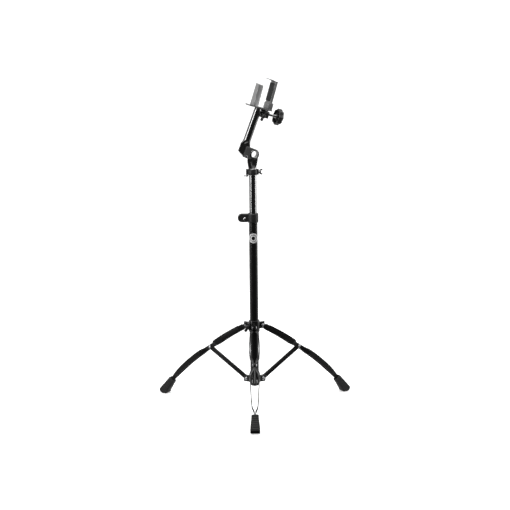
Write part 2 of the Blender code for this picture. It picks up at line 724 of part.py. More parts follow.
def make_memory_lock():
    """Ring on the upper tube with a wing bolt on its +X side and a key on its -X side."""
    lock_frame = empty("memory_lock_frame", mast, (0, 0, (LOCK_Z0 + LOCK_Z1) / 2),
                       (0, 0, radians(4)))
    bosses = [(0, 0.0176, 0.0052, 0), (180, 0.0196, 0.0040, 0)]
    lock = put("memory_lock_ring",
               plate([star(LOCK_R, bosses), circle(UPPER_R + GAP)], LOCK_Z1 - LOCK_Z0),
               "black_plastic", lock_frame)
    cut(lock, "lock_bolt_hole", rod(LOCK_BOLT_R + GAP, 0.014, 'X', 0.006, 14), lock_frame)
    cut(lock, "lock_key_hole", rod(KEY_R + GAP, 0.030, 'Z', -0.015, 12), lock_frame,
        (KEY_X, 0, 0))
    wing_frame = empty("lock_bolt_frame", lock_frame, (0.0180, 0, 0), (0, pi / 2, 0))
    wing_bolt("memory_lock_wing_bolt", "black_nickel", wing_frame, shank_r=LOCK_BOLT_R,
              shank_len=0.0060, hub_r=0.0045, hub_len=0.0070, span=0.0085, height=0.0110,
              thick=0.0030, segs=14)
    key = put("memory_lock_key", rod(KEY_R, 0.0255, 'Z', -0.0155, 12), "chrome",
              lock_frame, (KEY_X, 0, 0))
    join(key, "key_bar", block((-0.0100, -0.0016, -0.0128), (0.0045, 0.0016, -0.0095)),
         lock_frame, (KEY_X, 0, 0))


# ------------------------------------------------------------------ tilter
TILT_BOLT_X, TILT_BOLT_Z = -0.0245, -0.0140
TILT_BOLT_R = 0.0025
TILT_BOLT_HOLE_R = 0.0028
TILT_NUT_T = 0.0040
SLEEVE_FLANGE_R = 0.0140
SLEEVE_END = STACK_Y + 0.0012

# (x, z) corners of a cheek, from the top of its eye round the -X side
CHEEK_CORNERS = [(-0.0080, 0.0160), (-0.0320, 0.0160), (-0.0320, -0.0125),
                 (-0.0290, -0.0160), (-0.0235, -0.0182), (-0.0160, -0.0186),
                 (-0.0085, -0.0172)]


def make_tilt_cheeks():
    """A friction washer and a cheek on each side of the upper tube's eye."""
    outline = arc(0, 0, EYE_R, -100, 95, 16) + CHEEK_CORNERS
    for side, tag in ((-1, "near"), (1, "far")):
        put("friction_washer_" + tag,
            plate([circle(0.0146), circle(SLEEVE_R + GAP)], WASHER_T, 'XZ'),
            "nylon", tilt, (0, side * (WASHER_Y + WASHER_T / 2), 0))
        put("tilt_cheek_" + tag,
            plate([outline, circle(SLEEVE_R + GAP),
                   circle(TILT_BOLT_HOLE_R, 14, TILT_BOLT_X, TILT_BOLT_Z)], CHEEK_T, 'XZ'),
            "gloss_black", tilt, (0, side * (CHEEK_Y + CHEEK_T / 2), 0))


def make_tilt_fasteners():
    """Flanged sleeve through the eye, and the bolt and nut through the cheeks."""
    seat = STACK_Y + GAP
    turned("pivot_sleeve",
           [(SLEEVE_BORE, SLEEVE_END), (SLEEVE_FLANGE_R, SLEEVE_END),
            (SLEEVE_FLANGE_R, seat), (SLEEVE_R, seat),
            (SLEEVE_R, -seat), (SLEEVE_FLANGE_R, -seat),
            (SLEEVE_FLANGE_R, -SLEEVE_END), (SLEEVE_BORE, -SLEEVE_END)],
           "black_nickel", tilt, ZERO, TOWARDS_FRONT, closed=True)
    turned("tilt_lock_bolt",
           [(0, STACK_Y + 0.0048), (0.0038, STACK_Y + 0.0048), (0.0043, STACK_Y + 0.0040),
            (0.0043, seat), (TILT_BOLT_R, seat), (TILT_BOLT_R, -STACK_Y - 0.0060),
            (0, -STACK_Y - 0.0060)],
           "zinc", tilt, (TILT_BOLT_X, 0, TILT_BOLT_Z), TOWARDS_FRONT, segs=14)
    put("tilt_lock_nut",
        plate([circle(0.0046, 6), circle(TILT_BOLT_HOLE_R, 12)], TILT_NUT_T, 'XZ'), "zinc",
        tilt, (TILT_BOLT_X, seat + TILT_NUT_T / 2, TILT_BOLT_Z), smooth=0)


# ------------------------------------------------------------------ arm
ARM_FOOT = -0.0160
ARM_OVERRUN = 0.003         # tube past the plate, before its top is cut
ARM_PRESS_Z0 = 0.0160       # pressed flat below this, round above ARM_PRESS_Z1
ARM_PRESS_Z1 = 0.0325
ARM_PRESS_W = 0.0162        # half width of the pressed end
ARM_PRESS_T = CHEEK_Y - GAP     # half thickness of the pressed end

# (x, z) outline of the waste below the arm's lower end
ARM_END_WASTE = [(-0.0190, -0.0041), (0.0040, -0.0154), (0.0046, -0.0102),
                 (0.0190, -0.0064), (0.0190, -0.0240), (-0.0190, -0.0240)]


def make_arm():
    """Same tube as the mast, its lower end pressed flat between the cheeks."""
    top = ARM_TOP + ARM_OVERRUN
    press_len = ARM_PRESS_Z1 - ARM_PRESS_Z0
    draft = cylinder_draft(UPPER_R, top - ARM_FOOT, (top + ARM_FOOT) / 2, 32)
    slice_draft(draft, [ARM_PRESS_Z0 + press_len * i / 5 for i in range(6)], (0, 0, 1))
    for vert in draft.verts:
        x, y, z = vert.co
        pressed = smoothstep((ARM_PRESS_Z1 - z) / press_len)
        angle = atan2(y, x)
        vert.co.x = (UPPER_R + (ARM_PRESS_W - UPPER_R) * pressed) * cos(angle)
        vert.co.y = ((UPPER_R + (ARM_PRESS_T - UPPER_R) * pressed)
                     * squared_sine(angle, 0.6 * pressed))
    arm = put("arm_tube", to_mesh(draft), "black_nickel", arm_frame)
    cut(arm, "arm_bore", rod(UPPER_BORE, 0.104, 'Z', 0.036, 32), arm_frame)
    cut(arm, "arm_end_cut", plate([ARM_END_WASTE], 0.030, 'XZ'), arm_frame)
    cut(arm, "arm_top_cut", block((-0.020, -0.020, -GAP), (0.020, 0.020, 0.020)),
        clamp_frame)
    cut(arm, "arm_spindle_hole", rod(0.0046, 0.014, 'X', 0.001, 16), clamp_frame,
        (0, 0, SPINDLE_Z))


# ------------------------------------------------------------------ drum clamp
# In the clamp frame x = 0 is the arm's axis and z = 0 is the plate's underside.
PLATE_T = 0.0040
PLATE_W = 0.033
PLATE_X0, PLATE_X1 = -0.0380, 0.0390
SLOT_X0, SLOT_X1, SLOT_W = 0.0185, 0.0360, 0.0100
JAW_BASE = PLATE_T + GAP
JAW_BACK_T = 0.0030
JAW_WALL_T = 0.0022
FIXED_X0, FIXED_X1, FIXED_TOP = -0.0240, -0.0084, 0.0690
FIXED_HALF_W0, FIXED_HALF_W1 = 0.0135, 0.0105   # at the plate, at the top
FIXED_CORNER_R = 0.0050
MOVING_X0, MOVING_X1, MOVING_TOP = 0.0242, 0.0319, 0.0880
MOVING_BOTTOM = 0.0160
MOVING_HALF_W = 0.0153


def make_base_plate():
    """Plate on top of the arm, slotted for the moving jaw's neck."""
    put("clamp_base_plate",
        plate([rounded_rect(PLATE_X0, -PLATE_W / 2, PLATE_X1, PLATE_W / 2, 0.004),
               rounded_rect(SLOT_X0, -SLOT_W / 2, SLOT_X1, SLOT_W / 2, 0.002)], PLATE_T),
        "grey_steel", clamp_frame, (0, 0, PLATE_T / 2))


def channel_jaw(x0, x1, height, half_w):
    """Upright channel: a back plate at x0 with two side walls up to x1."""
    back_x = x0 + JAW_BACK_T
    wall_y = half_w - JAW_WALL_T
    outline = [(x0, -half_w), (x1, -half_w), (x1, -wall_y), (back_x, -wall_y),
               (back_x, wall_y), (x1, wall_y), (x1, half_w), (x0, half_w)]
    return plate([outline], height)


def narrow(mesh, lift=0.0):
    """Narrows a fixed jaw piece with height; lift is the height of the mesh's origin."""
    for vert in mesh.vertices:
        rise = (vert.co.z + lift - PLATE_T) / (FIXED_TOP - PLATE_T)
        vert.co.y *= 1 + (FIXED_HALF_W1 / FIXED_HALF_W0 - 1) * rise
    return mesh


def make_fixed_jaw():
    middle_z = (JAW_BASE + FIXED_TOP) / 2
    channel = channel_jaw(FIXED_X0, FIXED_X1, FIXED_TOP - JAW_BASE, FIXED_HALF_W0)
    jaw = put("fixed_jaw", narrow(channel, middle_z), "grey_steel", clamp_frame,
              (0, 0, middle_z))
    # the two upper corners are rounded off
    half_w = FIXED_HALF_W1 + 0.0002
    overrun = 0.002
    center_z = FIXED_TOP - FIXED_CORNER_R
    for side, tag in ((1, "l"), (-1, "r")):
        center_y = side * (half_w - FIXED_CORNER_R)
        outer_y = side * (half_w + overrun)
        quarter = [(center_y + side * FIXED_CORNER_R * cos(radians(angle)),
                    center_z + FIXED_CORNER_R * sin(radians(angle)))
                   for angle in range(0, 91, 15)]
        waste = [(outer_y, center_z), *quarter, (center_y, FIXED_TOP + overrun),
                 (outer_y, FIXED_TOP + overrun)]
        cut(jaw, "fixed_jaw_corner_" + tag,
            plate([waste], FIXED_X1 - FIXED_X0 + 2 * overrun, 'YZ'), clamp_frame,
            ((FIXED_X0 + FIXED_X1) / 2, 0, 0))
    put("fixed_jaw_pad",
        narrow(block((FIXED_X0 + JAW_BACK_T + GAP, -0.0109, 0.0080),
                     (FIXED_X1 + 0.0005, 0.0109, FIXED_TOP - 0.0060))),
        "rubber", clamp_frame, smooth=0)


def make_moving_jaw():
    """Channel with a hook over the top, a foot on the plate and a neck in the slot."""
    jaw = put("moving_jaw",
              channel_jaw(MOVING_X0, MOVING_X1, MOVING_TOP - MOVING_BOTTOM, MOVING_HALF_W),
              "grey_steel", clamp_frame, (0, 0, (MOVING_BOTTOM + MOVING_TOP) / 2))
    # (x, z) outline: underside towards the hook's tip at -X, then back over the top
    hook = [(MOVING_X0 + 0.0022, MOVING_TOP - 0.0100),
            (MOVING_X0 + 0.0005, MOVING_TOP - 0.0030),
            (MOVING_X0 - 0.0060, MOVING_TOP - 0.0006),
            (MOVING_X0 - 0.0212, MOVING_TOP + 0.0012),
            (MOVING_X0 - 0.0212, MOVING_TOP + 0.0030),
            (MOVING_X0 - 0.0040, MOVING_TOP + 0.0015),
            (MOVING_X0 + 0.0045, MOVING_TOP - 0.0010),
            (MOVING_X1 - 0.0003, MOVING_TOP - 0.0050),
            (MOVING_X1 - 0.0003, MOVING_TOP - 0.0100)]
    join(jaw, "jaw_hook", plate([hook], 0.0270, 'XZ'), clamp_frame)
    join(jaw, "jaw_foot_block",
         block((0.0215, -0.0158, JAW_BASE), (0.0368, 0.0158, 0.0235), 0.0008), clamp_frame)
    join(jaw, "jaw_neck", block((0.0262, -0.0046, -0.0030), (0.0320, 0.0046, 0.0080)),
         clamp_frame)
    put("moving_jaw_cover",
        block((MOVING_X0 - GAP - 0.0016, -0.0145, 0.0275),
              (MOVING_X0 - GAP, 0.0145, MOVING_TOP - 0.0060)),
        "rubber", clamp_frame, smooth=0)


# ------------------------------------------------------------------ clamp spindle
SPINDLE_R = 0.0040
SPINDLE_HOLE_R = 0.0044
LOCK_BOLT_X, LOCK_BOLT_Z = 0.0160, -0.0185
KNOB_R = 0.0245
KNOB_T = 0.0155
KNOB_X = 0.0720
KNOB_LOBES = 8
LOBE_DEPTH = 0.0014         # half the difference between crest and hollow


def make_spindle():
    """Spindle, with the carriage and the nut block it runs through."""
    axis = (0, 0, SPINDLE_Z)
    carriage = put("spindle_carriage",
                   block((0.0255, -0.0113, -0.0235), (0.0345, 0.0113, -0.0033), 0.0015),
                   "black_plastic", clamp_frame, smooth=0)
    cut(carriage, "carriage_hole", rod(SPINDLE_HOLE_R, 0.030, 'X', 0.015, 16),
        clamp_frame, axis)
    nut = put("spindle_nut_block",
              block((0.0118, -0.0115, -0.0240), (0.0200, 0.0115, -GAP), 0.0008),
              "gloss_black", clamp_frame, smooth=0)
    cut(nut, "nut_hole", rod(SPINDLE_HOLE_R, 0.020, 'X', 0.006, 16), clamp_frame, axis)
    cut(nut, "nut_lock_hole", rod(0.0028, 0.0095, 'Y', -0.0130, 14), clamp_frame,
        (LOCK_BOLT_X, 0, LOCK_BOLT_Z))
    put("jaw_spindle", rod(SPINDLE_R, 0.0655, 'X', 0.0100, 16), "chrome", clamp_frame, axis)


def make_knob():
    """Lobed knob, hollow on the side that faces the clamp."""
    outline = []
    for i in range(64):
        angle = 2 * pi * i / 64
        radius = KNOB_R - LOBE_DEPTH + LOBE_DEPTH * cos(KNOB_LOBES * angle)
        outline.append((radius * cos(angle), radius * sin(angle)))
    knob = put("jaw_knob", plate([outline], KNOB_T, 'YZ'), "black_plastic", clamp_frame,
               (KNOB_X, 0, SPINDLE_Z), smooth=30)
    inner_face = KNOB_X - KNOB_T / 2
    cut(knob, "knob_recess", plate([circle(0.0195, 24), circle(0.0080, 16)], 0.016, 'YZ'),
        clamp_frame, (inner_face + 0.001, 0, SPINDLE_Z))
    cut(knob, "knob_bore", rod(SPINDLE_R + GAP, 0.0125, 'X', inner_face - 0.001, 16),
        clamp_frame, (0, 0, SPINDLE_Z))


def make_spindle_lock_bolt():
    """Wing bolt into the -Y side of the nut block."""
    bolt_frame = empty("spindle_bolt_frame", clamp_frame,
                       (LOCK_BOLT_X, -0.0118, LOCK_BOLT_Z), (pi / 2, radians(-64), 0))
    wing_bolt("spindle_lock_bolt", "black_plastic", bolt_frame, shank_r=0.0025,
              shank_len=0.0070, hub_r=0.0060, hub_len=0.0100, span=0.0170, height=0.0130,
              thick=0.0050)


# ------------------------------------------------------------------ build
make_lower_tube()
make_hub()
make_legs()
make_collar()
make_badge()
make_height_clamp()
make_height_clamp_bolt()
make_guide_bush()
make_upper_tube()
make_memory_lock()
make_tilt_cheeks()
make_tilt_fasteners()
make_arm()
make_base_plate()
make_fixed_jaw()
make_moving_jaw()
make_spindle()
make_knob()
make_spindle_lock_bolt()
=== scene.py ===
"""Bongo stand: folding tripod, telescoping mast, tilter and drum clamp.

The stand is upright on the floor at z = 0, in metres, and the camera looks along +Y.
Each part is built in a frame worked out from the joints: the mast, a leg, the tilter or the clamp.
"""
import json
from math import (acos, asin, atan2, copysign, cos, degrees, floor, hypot, pi, radians, sin,
                  sqrt, tan)

import bpy
import bmesh
from mathutils import Matrix, Vector

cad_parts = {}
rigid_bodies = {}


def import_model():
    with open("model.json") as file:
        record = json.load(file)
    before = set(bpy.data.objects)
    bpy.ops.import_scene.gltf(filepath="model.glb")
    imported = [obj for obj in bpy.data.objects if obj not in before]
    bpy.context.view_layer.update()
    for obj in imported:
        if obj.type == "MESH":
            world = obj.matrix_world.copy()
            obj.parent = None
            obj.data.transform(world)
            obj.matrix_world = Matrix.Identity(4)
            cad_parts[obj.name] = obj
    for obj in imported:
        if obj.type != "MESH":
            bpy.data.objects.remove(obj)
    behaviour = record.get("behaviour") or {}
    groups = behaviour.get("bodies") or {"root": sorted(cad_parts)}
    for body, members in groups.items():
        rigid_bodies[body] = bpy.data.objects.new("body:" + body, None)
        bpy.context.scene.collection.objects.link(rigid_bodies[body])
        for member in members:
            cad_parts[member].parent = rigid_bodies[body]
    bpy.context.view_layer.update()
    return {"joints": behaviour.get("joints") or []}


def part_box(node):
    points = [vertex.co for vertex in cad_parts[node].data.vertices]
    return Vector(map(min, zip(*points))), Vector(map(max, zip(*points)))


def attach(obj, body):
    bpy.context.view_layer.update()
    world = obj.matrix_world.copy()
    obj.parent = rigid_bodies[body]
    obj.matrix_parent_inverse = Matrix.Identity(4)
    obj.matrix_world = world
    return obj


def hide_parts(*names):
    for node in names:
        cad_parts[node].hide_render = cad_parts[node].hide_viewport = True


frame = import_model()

JOINTS = {joint["name"]: joint for joint in frame["joints"]}


# ------------------------------------------------------------------ frames of reference
def joint_at(name):
    return Vector(JOINTS[name]["pos_m"])


def joint_axis(name):
    return Vector(JOINTS[name]["axis"]).normalized()


def basis(x, y, z, origin):
    """Frame with the given axes and origin."""
    matrix = Matrix((x, y, z)).transposed().to_4x4()
    matrix.translation = origin
    return matrix


def shift(base, x=0, y=0, z=0):
    """The frame moved along its own axes."""
    return base @ Matrix.Translation((x, y, z))


def spin(angle, axis):
    return Matrix.Rotation(angle, 4, axis)


Z_TO_X = spin(pi / 2, 'Y')
Z_TO_Y = spin(-pi / 2, 'X')
Z_TO_MINUS_Y = spin(pi / 2, 'X')
AXIS_TURN = {'X': Z_TO_X, 'Y': Z_TO_Y, 'Z': Matrix()}
PLANE_TURN = {'XY': Matrix(), 'XZ': Z_TO_MINUS_Y, 'YZ': spin(pi / 2, 'Z') @ spin(pi / 2, 'X')}

# mast: upright from the floor
MAST = Vector((joint_at("mast_swivel").x, joint_at("mast_swivel").y, 0.0))
MAST_FRAME = Matrix.Translation(MAST)

# head: on the mast's axis at the height of the tilt pivot, Y along the pivot
TILT_AT = joint_at("tilt")
PIVOT_Z = TILT_AT.z
TILT_Y = joint_axis("tilt")
HEAD_X = Vector((TILT_Y.y, -TILT_Y.x, 0)).normalized()
HEAD_FRAME = basis(HEAD_X, TILT_Y, Vector((0, 0, 1)), Vector((MAST.x, MAST.y, PIVOT_Z)))
PIVOT_DX = (TILT_AT - HEAD_FRAME.translation).dot(HEAD_X)

# clamp: X along the base plate to the knob, Z up between the jaws
CANT = radians(4.5)                          # the plate is off square to the arm by this
CLAMP_X = -joint_axis("jaw_slide")
CLAMP_Z = CLAMP_X.cross(TILT_Y).normalized()
TILT_X = CLAMP_X * cos(CANT) - CLAMP_Z * sin(CANT)
TILT_FRAME = basis(TILT_X, TILT_Y, TILT_X.cross(TILT_Y), TILT_AT)
ARM_X, ARM_TOP, ARM_FOOT = -0.0358, 0.1320, -0.0160
ARM_FRAME = shift(TILT_FRAME, ARM_X)
CLAMP_FRAME = basis(CLAMP_X, TILT_Y, CLAMP_Z, ARM_FRAME @ Vector((0, 0, ARM_TOP)))

# legs: X outward from the mast's axis
FOLD_JOINT = {"front": "fold", "right": "brace_right_fold", "left": "brace_left_fold"}
LEG_FRAME, LEG_DEGREES = {}, {}
for leg, fold in FOLD_JOINT.items():
    outward = joint_at(fold) - MAST
    azimuth = atan2(outward.y, outward.x)
    LEG_FRAME[leg] = MAST_FRAME @ spin(azimuth, 'Z')
    LEG_DEGREES[leg] = round(degrees(azimuth))


def mast_radius(name):
    offset = joint_at(name) - MAST
    return sqrt(offset.x ** 2 + offset.y ** 2)


PIVOT_R = mast_radius("fold")
HUB_Z = joint_at("fold").z
KNEE_R = mast_radius("leg_front_knee")
KNEE_Z = joint_at("leg_front_knee").z
COLLAR_Z = joint_at("collar_pivot").z
LINK = hypot(KNEE_R - PIVOT_R, KNEE_Z - HUB_Z)            # rivet to rivet along a brace
LEG_ANGLE = atan2(KNEE_R - PIVOT_R, KNEE_Z - HUB_Z)       # lean from the vertical

# sizes read from the frame
LOWER_LO, LOWER_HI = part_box("lower_tube")
LOWER_R = (LOWER_HI.x - LOWER_LO.x) / 2
TUBE_BOTTOM, LOWER_TOP = LOWER_LO.z, LOWER_HI.z
UPPER_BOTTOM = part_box("upper_tube")[0].z
CLAMP_Z0, CLAMP_Z1 = [corner.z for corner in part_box("height_clamp_body")]
LOCK_Z0, LOCK_Z1 = [corner.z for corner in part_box("memory_lock_ring")]
BADGE_Z = (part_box("badge")[0].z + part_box("badge")[1].z) / 2

# sizes shared by several parts
UPPER_R = 0.0111
GAP = 0.0003                                 # clearance between touching parts
RIVET_HOLE_R = 0.0028
HINGE_REACH = PIVOT_R + 0.0085               # end of the hub's and collar's leg ears

# ------------------------------------------------------------------ outlines
def smoothstep(t):
    t = min(max(t, 0.0), 1.0)
    return t * t * (3 - 2 * t)


def arc(x, y, r, start, end, steps):
    """Points on an arc between two angles in degrees, both ends included."""
    return [(x + r * cos(radians(start + (end - start) * i / steps)),
             y + r * sin(radians(start + (end - start) * i / steps))) for i in range(steps + 1)]


def circle(r, steps, x=0.0, y=0.0):
    return arc(x, y, r, 0, 360, steps)[:-1]


def capsule(x_start, x_end, r, steps):
    """Outline round two equal circles on the x axis."""
    base = 0 if x_end > x_start else 180
    return (arc(x_end, 0, r, base - 90, base + 90, steps)
            + arc(x_start, 0, r, base + 90, base + 270, steps))


def rounded_rect(x0, y0, x1, y1, r, steps):
    return (arc(x1 - r, y1 - r, r, 0, 90, steps) + arc(x0 + r, y1 - r, r, 90, 180, steps)
            + arc(x0 + r, y0 + r, r, 180, 270, steps) + arc(x1 - r, y0 + r, r, 270, 360, steps))


def round_loop(points, r, steps):
    """Outline with every corner rounded to radius r where there is room."""
    out = []
    for i in range(len(points)):
        corner = Vector(points[i])
        back = Vector(points[i - 1]) - corner
        ahead = Vector(points[(i + 1) % len(points)]) - corner
        back_length, ahead_length = back.length, ahead.length
        back.normalize()
        ahead.normalize()
        angle = acos(max(-1, min(1, back.dot(ahead))))
        if angle > radians(172):
            out.append(tuple(corner))
            continue
        trim = min(r / tan(angle / 2), back_length * 0.45, ahead_length * 0.45)
        start, end = corner + back * trim, corner + ahead * trim
        for k in range(steps + 1):
            t = k / steps
            out.append(tuple(start * (1 - t) ** 2 + corner * 2 * t * (1 - t) + end * t ** 2))
    return out


def star_loop(body_r, arms):
    """Round body with square-ended arms: (azimuth deg, reach, half width, half slot)."""
    points = []
    arms = sorted(arms)
    for i, (azimuth, reach, half, slot) in enumerate(arms):
        root = sqrt(body_r ** 2 - half ** 2)
        if slot:
            tine = half - slot
            side = [(reach - tine * 0.5, half), (reach, half - tine * 0.3),
                    (reach, slot + tine * 0.3), (reach - tine * 0.4, slot),
                    (body_r + 0.0012, slot)]
        else:
            chamfer = min(0.0018, half / 2.5)
            side = [(reach - chamfer, half), (reach - chamfer * 0.3, half - chamfer * 0.3),
                    (reach, half - chamfer)]
        side.insert(0, (root, half))
        arm = [(along, -across) for along, across in side] + side[::-1]
        c, s = cos(radians(azimuth)), sin(radians(azimuth))
        points += [(u * c - v * s, u * s + v * c) for u, v in arm]
        following = arms[(i + 1) % len(arms)]
        start = azimuth + degrees(asin(half / body_r))
        end = following[0] - degrees(asin(following[2] / body_r))
        if end < start:
            end += 360
        points += arc(0, 0, body_r, start, end, 20)[1:-1]
    return points


def raised(profile, z0):
    """Profile with its heights measured from z0."""
    return [(r, z0 + z) for r, z in profile]


def mirrored(profile):
    """Profile followed by its reflection in z = 0."""
    return profile + [(r, -z) for r, z in reversed(profile)]


def thread_profile(r, z0, z1, pitch, depth=0.12):
    """Rings that stand for a fine thread between two heights."""
    points = []
    z = z0
    while z < z1 - pitch * 0.5:
        points += [(r * (1 - depth), z), (r, z + pitch * 0.35), (r, z + pitch * 0.6)]
        z += pitch
    points.append((r * (1 - depth), z1))
    return points


# ------------------------------------------------------------------ meshes
WORK = bpy.data.collections.new("work")
bpy.context.scene.collection.children.link(WORK)


def to_mesh(bm, turn=Matrix()):
    bmesh.ops.transform(bm, matrix=turn, verts=bm.verts)
    bm.normal_update()
    bmesh.ops.recalc_face_normals(bm, faces=bm.faces)
    mesh = bpy.data.meshes.new("part")
    bm.to_mesh(mesh)
    bm.free()
    return mesh


def evaluated_mesh(ob):
    bpy.context.view_layer.update()
    depsgraph = bpy.context.evaluated_depsgraph_get()
    return bpy.data.meshes.new_from_object(ob.evaluated_get(depsgraph))


def plate(loops, thick, plane='XY'):
    """Flat plate centred on the plane; inner loops are holes."""
    curve = bpy.data.curves.new("plate", 'CURVE')
    curve.dimensions = '2D'
    curve.fill_mode = 'BOTH'
    curve.extrude = thick / 2
    for loop in loops:
        spline = curve.splines.new('POLY')
        spline.points.add(len(loop) - 1)
        for point, (x, y) in zip(spline.points, loop):
            point.co = (x, y, 0, 1)
        spline.use_cyclic_u = True
    ob = bpy.data.objects.new("plate", curve)
    WORK.objects.link(ob)
    filled = evaluated_mesh(ob)
    bm = bmesh.new()
    bm.from_mesh(filled)
    bmesh.ops.remove_doubles(bm, verts=bm.verts, dist=1e-6)
    bpy.data.objects.remove(ob, do_unlink=True)
    bpy.data.curves.remove(curve)
    bpy.data.meshes.remove(filled)
    # join the filling triangles into flat caps
    bmesh.ops.dissolve_limit(bm, angle_limit=radians(0.5), verts=bm.verts, edges=bm.edges,
                             delimit={'NORMAL'})
    return to_mesh(bm, PLANE_TURN[plane])


def rod(r, start, end, axis='Z', segs=64):
    """Solid cylinder between two places on an axis."""
    bm = bmesh.new()
    bmesh.ops.create_cone(bm, cap_ends=True, cap_tris=False, segments=segs, radius1=r,
                          radius2=r, depth=end - start)
    bmesh.ops.translate(bm, vec=(0, 0, (start + end) / 2), verts=bm.verts)
    return to_mesh(bm, AXIS_TURN[axis])


def block(lo, hi, bevel=0.0, segs=3):
    bm = bmesh.new()
    bmesh.ops.create_cube(bm, size=1.0)
    bmesh.ops.scale(bm, vec=[b - a for a, b in zip(lo, hi)], verts=bm.verts)
    bmesh.ops.translate(bm, vec=[(a + b) / 2 for a, b in zip(lo, hi)], verts=bm.verts)
    if bevel:
        bmesh.ops.bevel(bm, geom=list(bm.edges), offset=bevel, segments=segs, profile=0.5,
                        affect='EDGES')
    return to_mesh(bm)


def turned(profile, segs=96, closed=False, axis='Z', wave=None):
    """Lathe: (r, z) profile round an axis; open profiles start and end on the axis.

    wave(angle, r) may return a new radius, for lobes.
    """
    bm = bmesh.new()
    rows = []
    for k in range(segs):
        a = 2 * pi * k / segs
        row = []
        for r, z in profile:
            if r < 1e-7:
                row.append(None)
                continue
            if wave:
                r = wave(a, r)
            row.append(bm.verts.new((r * cos(a), r * sin(a), z)))
        rows.append(row)
    poles = {i: bm.verts.new((0, 0, z)) for i, (r, z) in enumerate(profile) if r < 1e-7}
    count = len(profile)
    pairs = [(i, i + 1) for i in range(count - 1)] + ([(count - 1, 0)] if closed else [])
    for k in range(segs):
        a, b = rows[k], rows[(k + 1) % segs]
        for i, j in pairs:
            corners = []
            for vert in (a[i] or poles.get(i), b[i] or poles.get(i),
                         b[j] or poles.get(j), a[j] or poles.get(j)):
                if vert not in corners:
                    corners.append(vert)
            if len(corners) > 2:
                bm.faces.new(corners)
    return to_mesh(bm, AXIS_TURN[axis])


def loft(sections):
    """Skin over a list of closed sections of points, capped at both ends; a bmesh."""
    bm = bmesh.new()
    rows = [[bm.verts.new(point) for point in section] for section in sections]
    for a, b in zip(rows, rows[1:]):
        for i in range(len(a)):
            j = (i + 1) % len(a)
            bm.faces.new((a[i], a[j], b[j], b[i]))
    bm.faces.new(rows[0])
    bm.faces.new(rows[-1][::-1])
    return bm


# ------------------------------------------------------------------ solids and pieces
def work_object(mesh, place):
    ob = bpy.data.objects.new("work", mesh)
    WORK.objects.link(ob)
    ob.matrix_world = place
    return ob


class Solid:
    """A mesh in a frame, with cuts, joins and bevels that piece() bakes."""

    def __init__(self, mesh, place):
        self.place = place
        self.ob = work_object(mesh, place)

    def combine(self, how, mesh, place):
        mod = self.ob.modifiers.new(how.lower(), 'BOOLEAN')
        mod.operation = how
        mod.object = work_object(mesh, self.place if place is None else place)
        mod.solver = 'EXACT'

    def cut(self, mesh, place=None):
        self.combine('DIFFERENCE', mesh, place)

    def fuse(self, mesh, place=None):
        self.combine('UNION', mesh, place)

    def bevel(self, width, segs=3, angle=40):
        mod = self.ob.modifiers.new("edges", 'BEVEL')
        mod.width = width
        mod.segments = segs
        mod.limit_method = 'ANGLE'
        mod.angle_limit = radians(angle)
        mod.use_clamp_overlap = True
        mod.miter_outer = 'MITER_ARC'


def piece(name, source, body, finish, place=None, smooth=38, replaces=True):
    """Files a Solid, or a mesh and its frame, as a visible piece riding on a body."""
    if isinstance(source, Solid):
        mesh = evaluated_mesh(source.ob)
        place = source.ob.matrix_world.copy()
        for work in list(WORK.objects):
            bpy.data.objects.remove(work, do_unlink=True)
    else:
        mesh = source
    mesh.transform(place)
    bm = bmesh.new()
    bm.from_mesh(mesh)
    bmesh.ops.remove_doubles(bm, verts=bm.verts, dist=2e-6)
    loose = [vert for vert in bm.verts if not vert.link_faces]
    bmesh.ops.delete(bm, geom=loose, context='VERTS')
    bmesh.ops.recalc_face_normals(bm, faces=bm.faces)
    bm.to_mesh(mesh)
    bm.free()
    material, slot = finish
    mesh.name = name + "_vis"
    mesh.materials.clear()
    mesh.materials.append(material)
    mesh.shade_smooth()
    mesh.set_sharp_from_angle(angle=radians(smooth))
    ob = bpy.data.objects.new(name + "_vis", mesh)
    bpy.context.scene.collection.objects.link(ob)
    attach(ob, body)
    if replaces:
        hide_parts(name)


# ------------------------------------------------------------------ shader nodes
def rgb(value):
    """A colour from a grey level; a colour is left as it is."""
    return value if isinstance(value, tuple) else (value,) * 3


